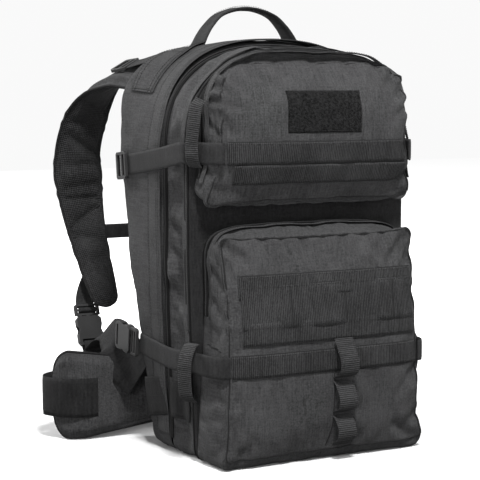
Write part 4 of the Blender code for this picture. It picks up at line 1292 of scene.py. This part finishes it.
def back_panel():
    """The padded back: six sewn cells of spacer mesh, split by a channel down the middle."""
    low, high = extent("back_pad")
    heights = np.linspace(low[2], high[2], 91)
    node_heights, node_widths = (26, 80, 138, 200, 249, 300, 345, 400), (190, 204, 220, 226, 228, 226, 220, 200)
    width = np.interp(heights, node_heights, node_widths)
    u = np.linspace(-1, 1, 61)
    cells_u = np.abs(np.sin(np.pi * (u + 1))) ** 0.35
    cells_t = np.abs(np.sin(np.pi * 3 * np.linspace(0, 1, len(heights)))) ** 0.35
    rise = (0.22 + 0.78 * cells_u[None, :] * cells_t[:, None]) * 12.0
    x = width[:, None] / 2 * u[None, :]
    z = np.repeat(heights[:, None], len(u), 1)
    base = rear_y(z) + 0.6
    front = np.stack([x, base + rise, z], 2)
    back = np.stack([x, base, z], 2)
    obj = solid("back_padding", np.concatenate([front, back[:, ::-1]], 1), MESH, BODY, "back_pad")
    edge = np.vstack([back[0], back[:, -1], back[-1, ::-1], back[::-1, 0]]) + [0, 1.2, 0]
    tube("back_padding_binding", edge, 2.0, BODY, closed=True)


def inner_lining():
    """The lining that covers the frame sheet inside the main compartment."""
    low, high = extent("frame_sheet")
    heights = np.linspace(low[2] - 5, high[2] + 5, 60)
    across = np.linspace(-1, 1, 41)
    half = (high[0] - low[0]) / 2 + 7
    x = np.repeat(across[None] * half, 60, 0)
    z = np.repeat(heights[:, None], 41, 1)
    edge = np.minimum(1 - np.abs(x) / half, np.minimum(z - heights[0], heights[-1] - z) / half)
    rise = np.clip(edge / 0.05, 0, 1) * 1.3 + 0.5 * np.sin(x / 37.0) * np.sin(z / 44.0)
    front = np.stack([x, rear_y(z) - LINING_DEPTH - rise, z], 2)
    back = front + [0, 1.0, 0]
    solid("frame_sheet_lining", np.concatenate([front, back[:, ::-1]], 1), LINING, BODY)


inner_lining()
haul_handle()
load_lifters()
lower_straps()
sternum()
hip_webbing()
back_panel()
sew()


# ---- hardware ----
def refine(node, body, material, width=0.55):
    """A moulded version of a CAD piece: the same shape with its edges rounded."""
    source = frame["nodes"][node]
    mesh = source.data.copy()
    mesh.transform(source.matrix_world)
    bm = bmesh.new()
    bm.from_mesh(mesh)
    bmesh.ops.remove_doubles(bm, verts=bm.verts, dist=1e-6)
    bmesh.ops.dissolve_limit(bm, angle_limit=math.radians(1), verts=bm.verts, edges=bm.edges)
    bm.to_mesh(mesh)
    bm.free()
    mesh.materials.clear()
    mesh.materials.append(material)
    obj = link(node + "_moulded", mesh)
    soft = obj.modifiers.new("edges", "BEVEL")
    soft.width = width * MM
    soft.segments = 2
    soft.limit_method = "ANGLE"
    soft.angle_limit = math.radians(30)
    mesh.polygons.foreach_set("use_smooth", [True] * len(mesh.polygons))
    mesh.set_sharp_from_angle(angle=math.radians(40))
    stand_for(obj, body, node)


BODIES = frame["record"]["behaviour"]["bodies"]
for NODE, RIDES in ((node, body) for body, nodes in BODIES.items() for node in nodes):
    if "buckle" in NODE or "lock_" in NODE:
        refine(NODE, RIDES, PLASTIC, width=0.9 if "hip" in NODE else 0.55)
    elif NODE.endswith(("slider", "pull")):
        refine(NODE, RIDES, METAL, 0.3)
for MATERIAL_SLOT in frame["nodes"]["frame_sheet"].material_slots:
    MATERIAL_SLOT.material = SHEET


# ---- stage, light and camera ----
def stage():
    bpy.ops.mesh.primitive_plane_add(size=12.0, location=(0, 0, -0.0006))
    floor = bpy.context.object
    floor.name = "floor"
    dark, light, start, width = 0.28, 0.95, 0.5, 1.4  # the paper is painted darker round the pack, as painted shade that also keeps bounce light off the pack, and pales away from it
    g = Graph("floor_paper", 1.0, specular=0.0)
    place = g.nodes.new("ShaderNodeTexCoord").outputs["Object"]
    away = g.add("VectorMath", 1, {"operation": "LENGTH"}, Vector=place)
    away = g.math("DIVIDE", g.math("SUBTRACT", away, start), width)
    g.ramp(g.math("ADD", away, g.math("MULTIPLY", g.noise(3.0), 0.03)), (dark,) * 3, (light,) * 3)
    floor.data.materials.append(g.material)


def area_light(name, place, target, size, power):
    light = bpy.data.lights.new(name, "AREA")
    light.shape = "DISK"
    light.size = size
    light.energy = power
    obj = link(name, light)
    obj.location = place
    obj.rotation_euler = (Vector(target) - Vector(place)).to_track_quat("-Z", "Y").to_euler()


# name, place, height of what it is aimed at, diameter, watts
LAMPS = (
    ("key", (-0.5, -1.3, 2.3), 0.25, 0.5, 272.0), ("fill", (-1.9, -1.7, 0.6), 0.25, 0.9, 66.0),
    ("rim", (-1.3, 1.9, 1.6), 0.3, 0.9, 150.0), ("side", (2.2, -0.6, 1.1), 0.25, 0.9, 60.0),
)


def lights():
    world = bpy.data.worlds.new("studio")
    world.use_nodes = True
    background = world.node_tree.nodes["Background"]
    background.inputs["Color"].default_value = (1, 1, 1, 1)
    background.inputs["Strength"].default_value = 0.95
    bpy.context.scene.world = world
    bpy.context.scene.view_settings.view_transform = "Standard"
    for name, place, height, size, power in LAMPS:
        area_light(name, place, (0, 0, height), size, power)


def camera():
    """A long lens from the pack's front left, 29 degrees round, a little above its middle."""
    yaw, pitch = math.radians(29.0), math.radians(5.645)
    ahead = Vector((math.sin(yaw) * math.cos(pitch), math.cos(yaw) * math.cos(pitch), -math.sin(pitch)))
    data = bpy.data.cameras.new("camera")
    data.lens = 116.1
    data.sensor_width = 36.0
    obj = link("camera", data)
    obj.location = (-0.9458, -1.5998, 0.432)
    obj.rotation_euler = ahead.to_track_quat("-Z", "Y").to_euler()
    bpy.context.scene.camera = obj


stage()
lights()
camera()
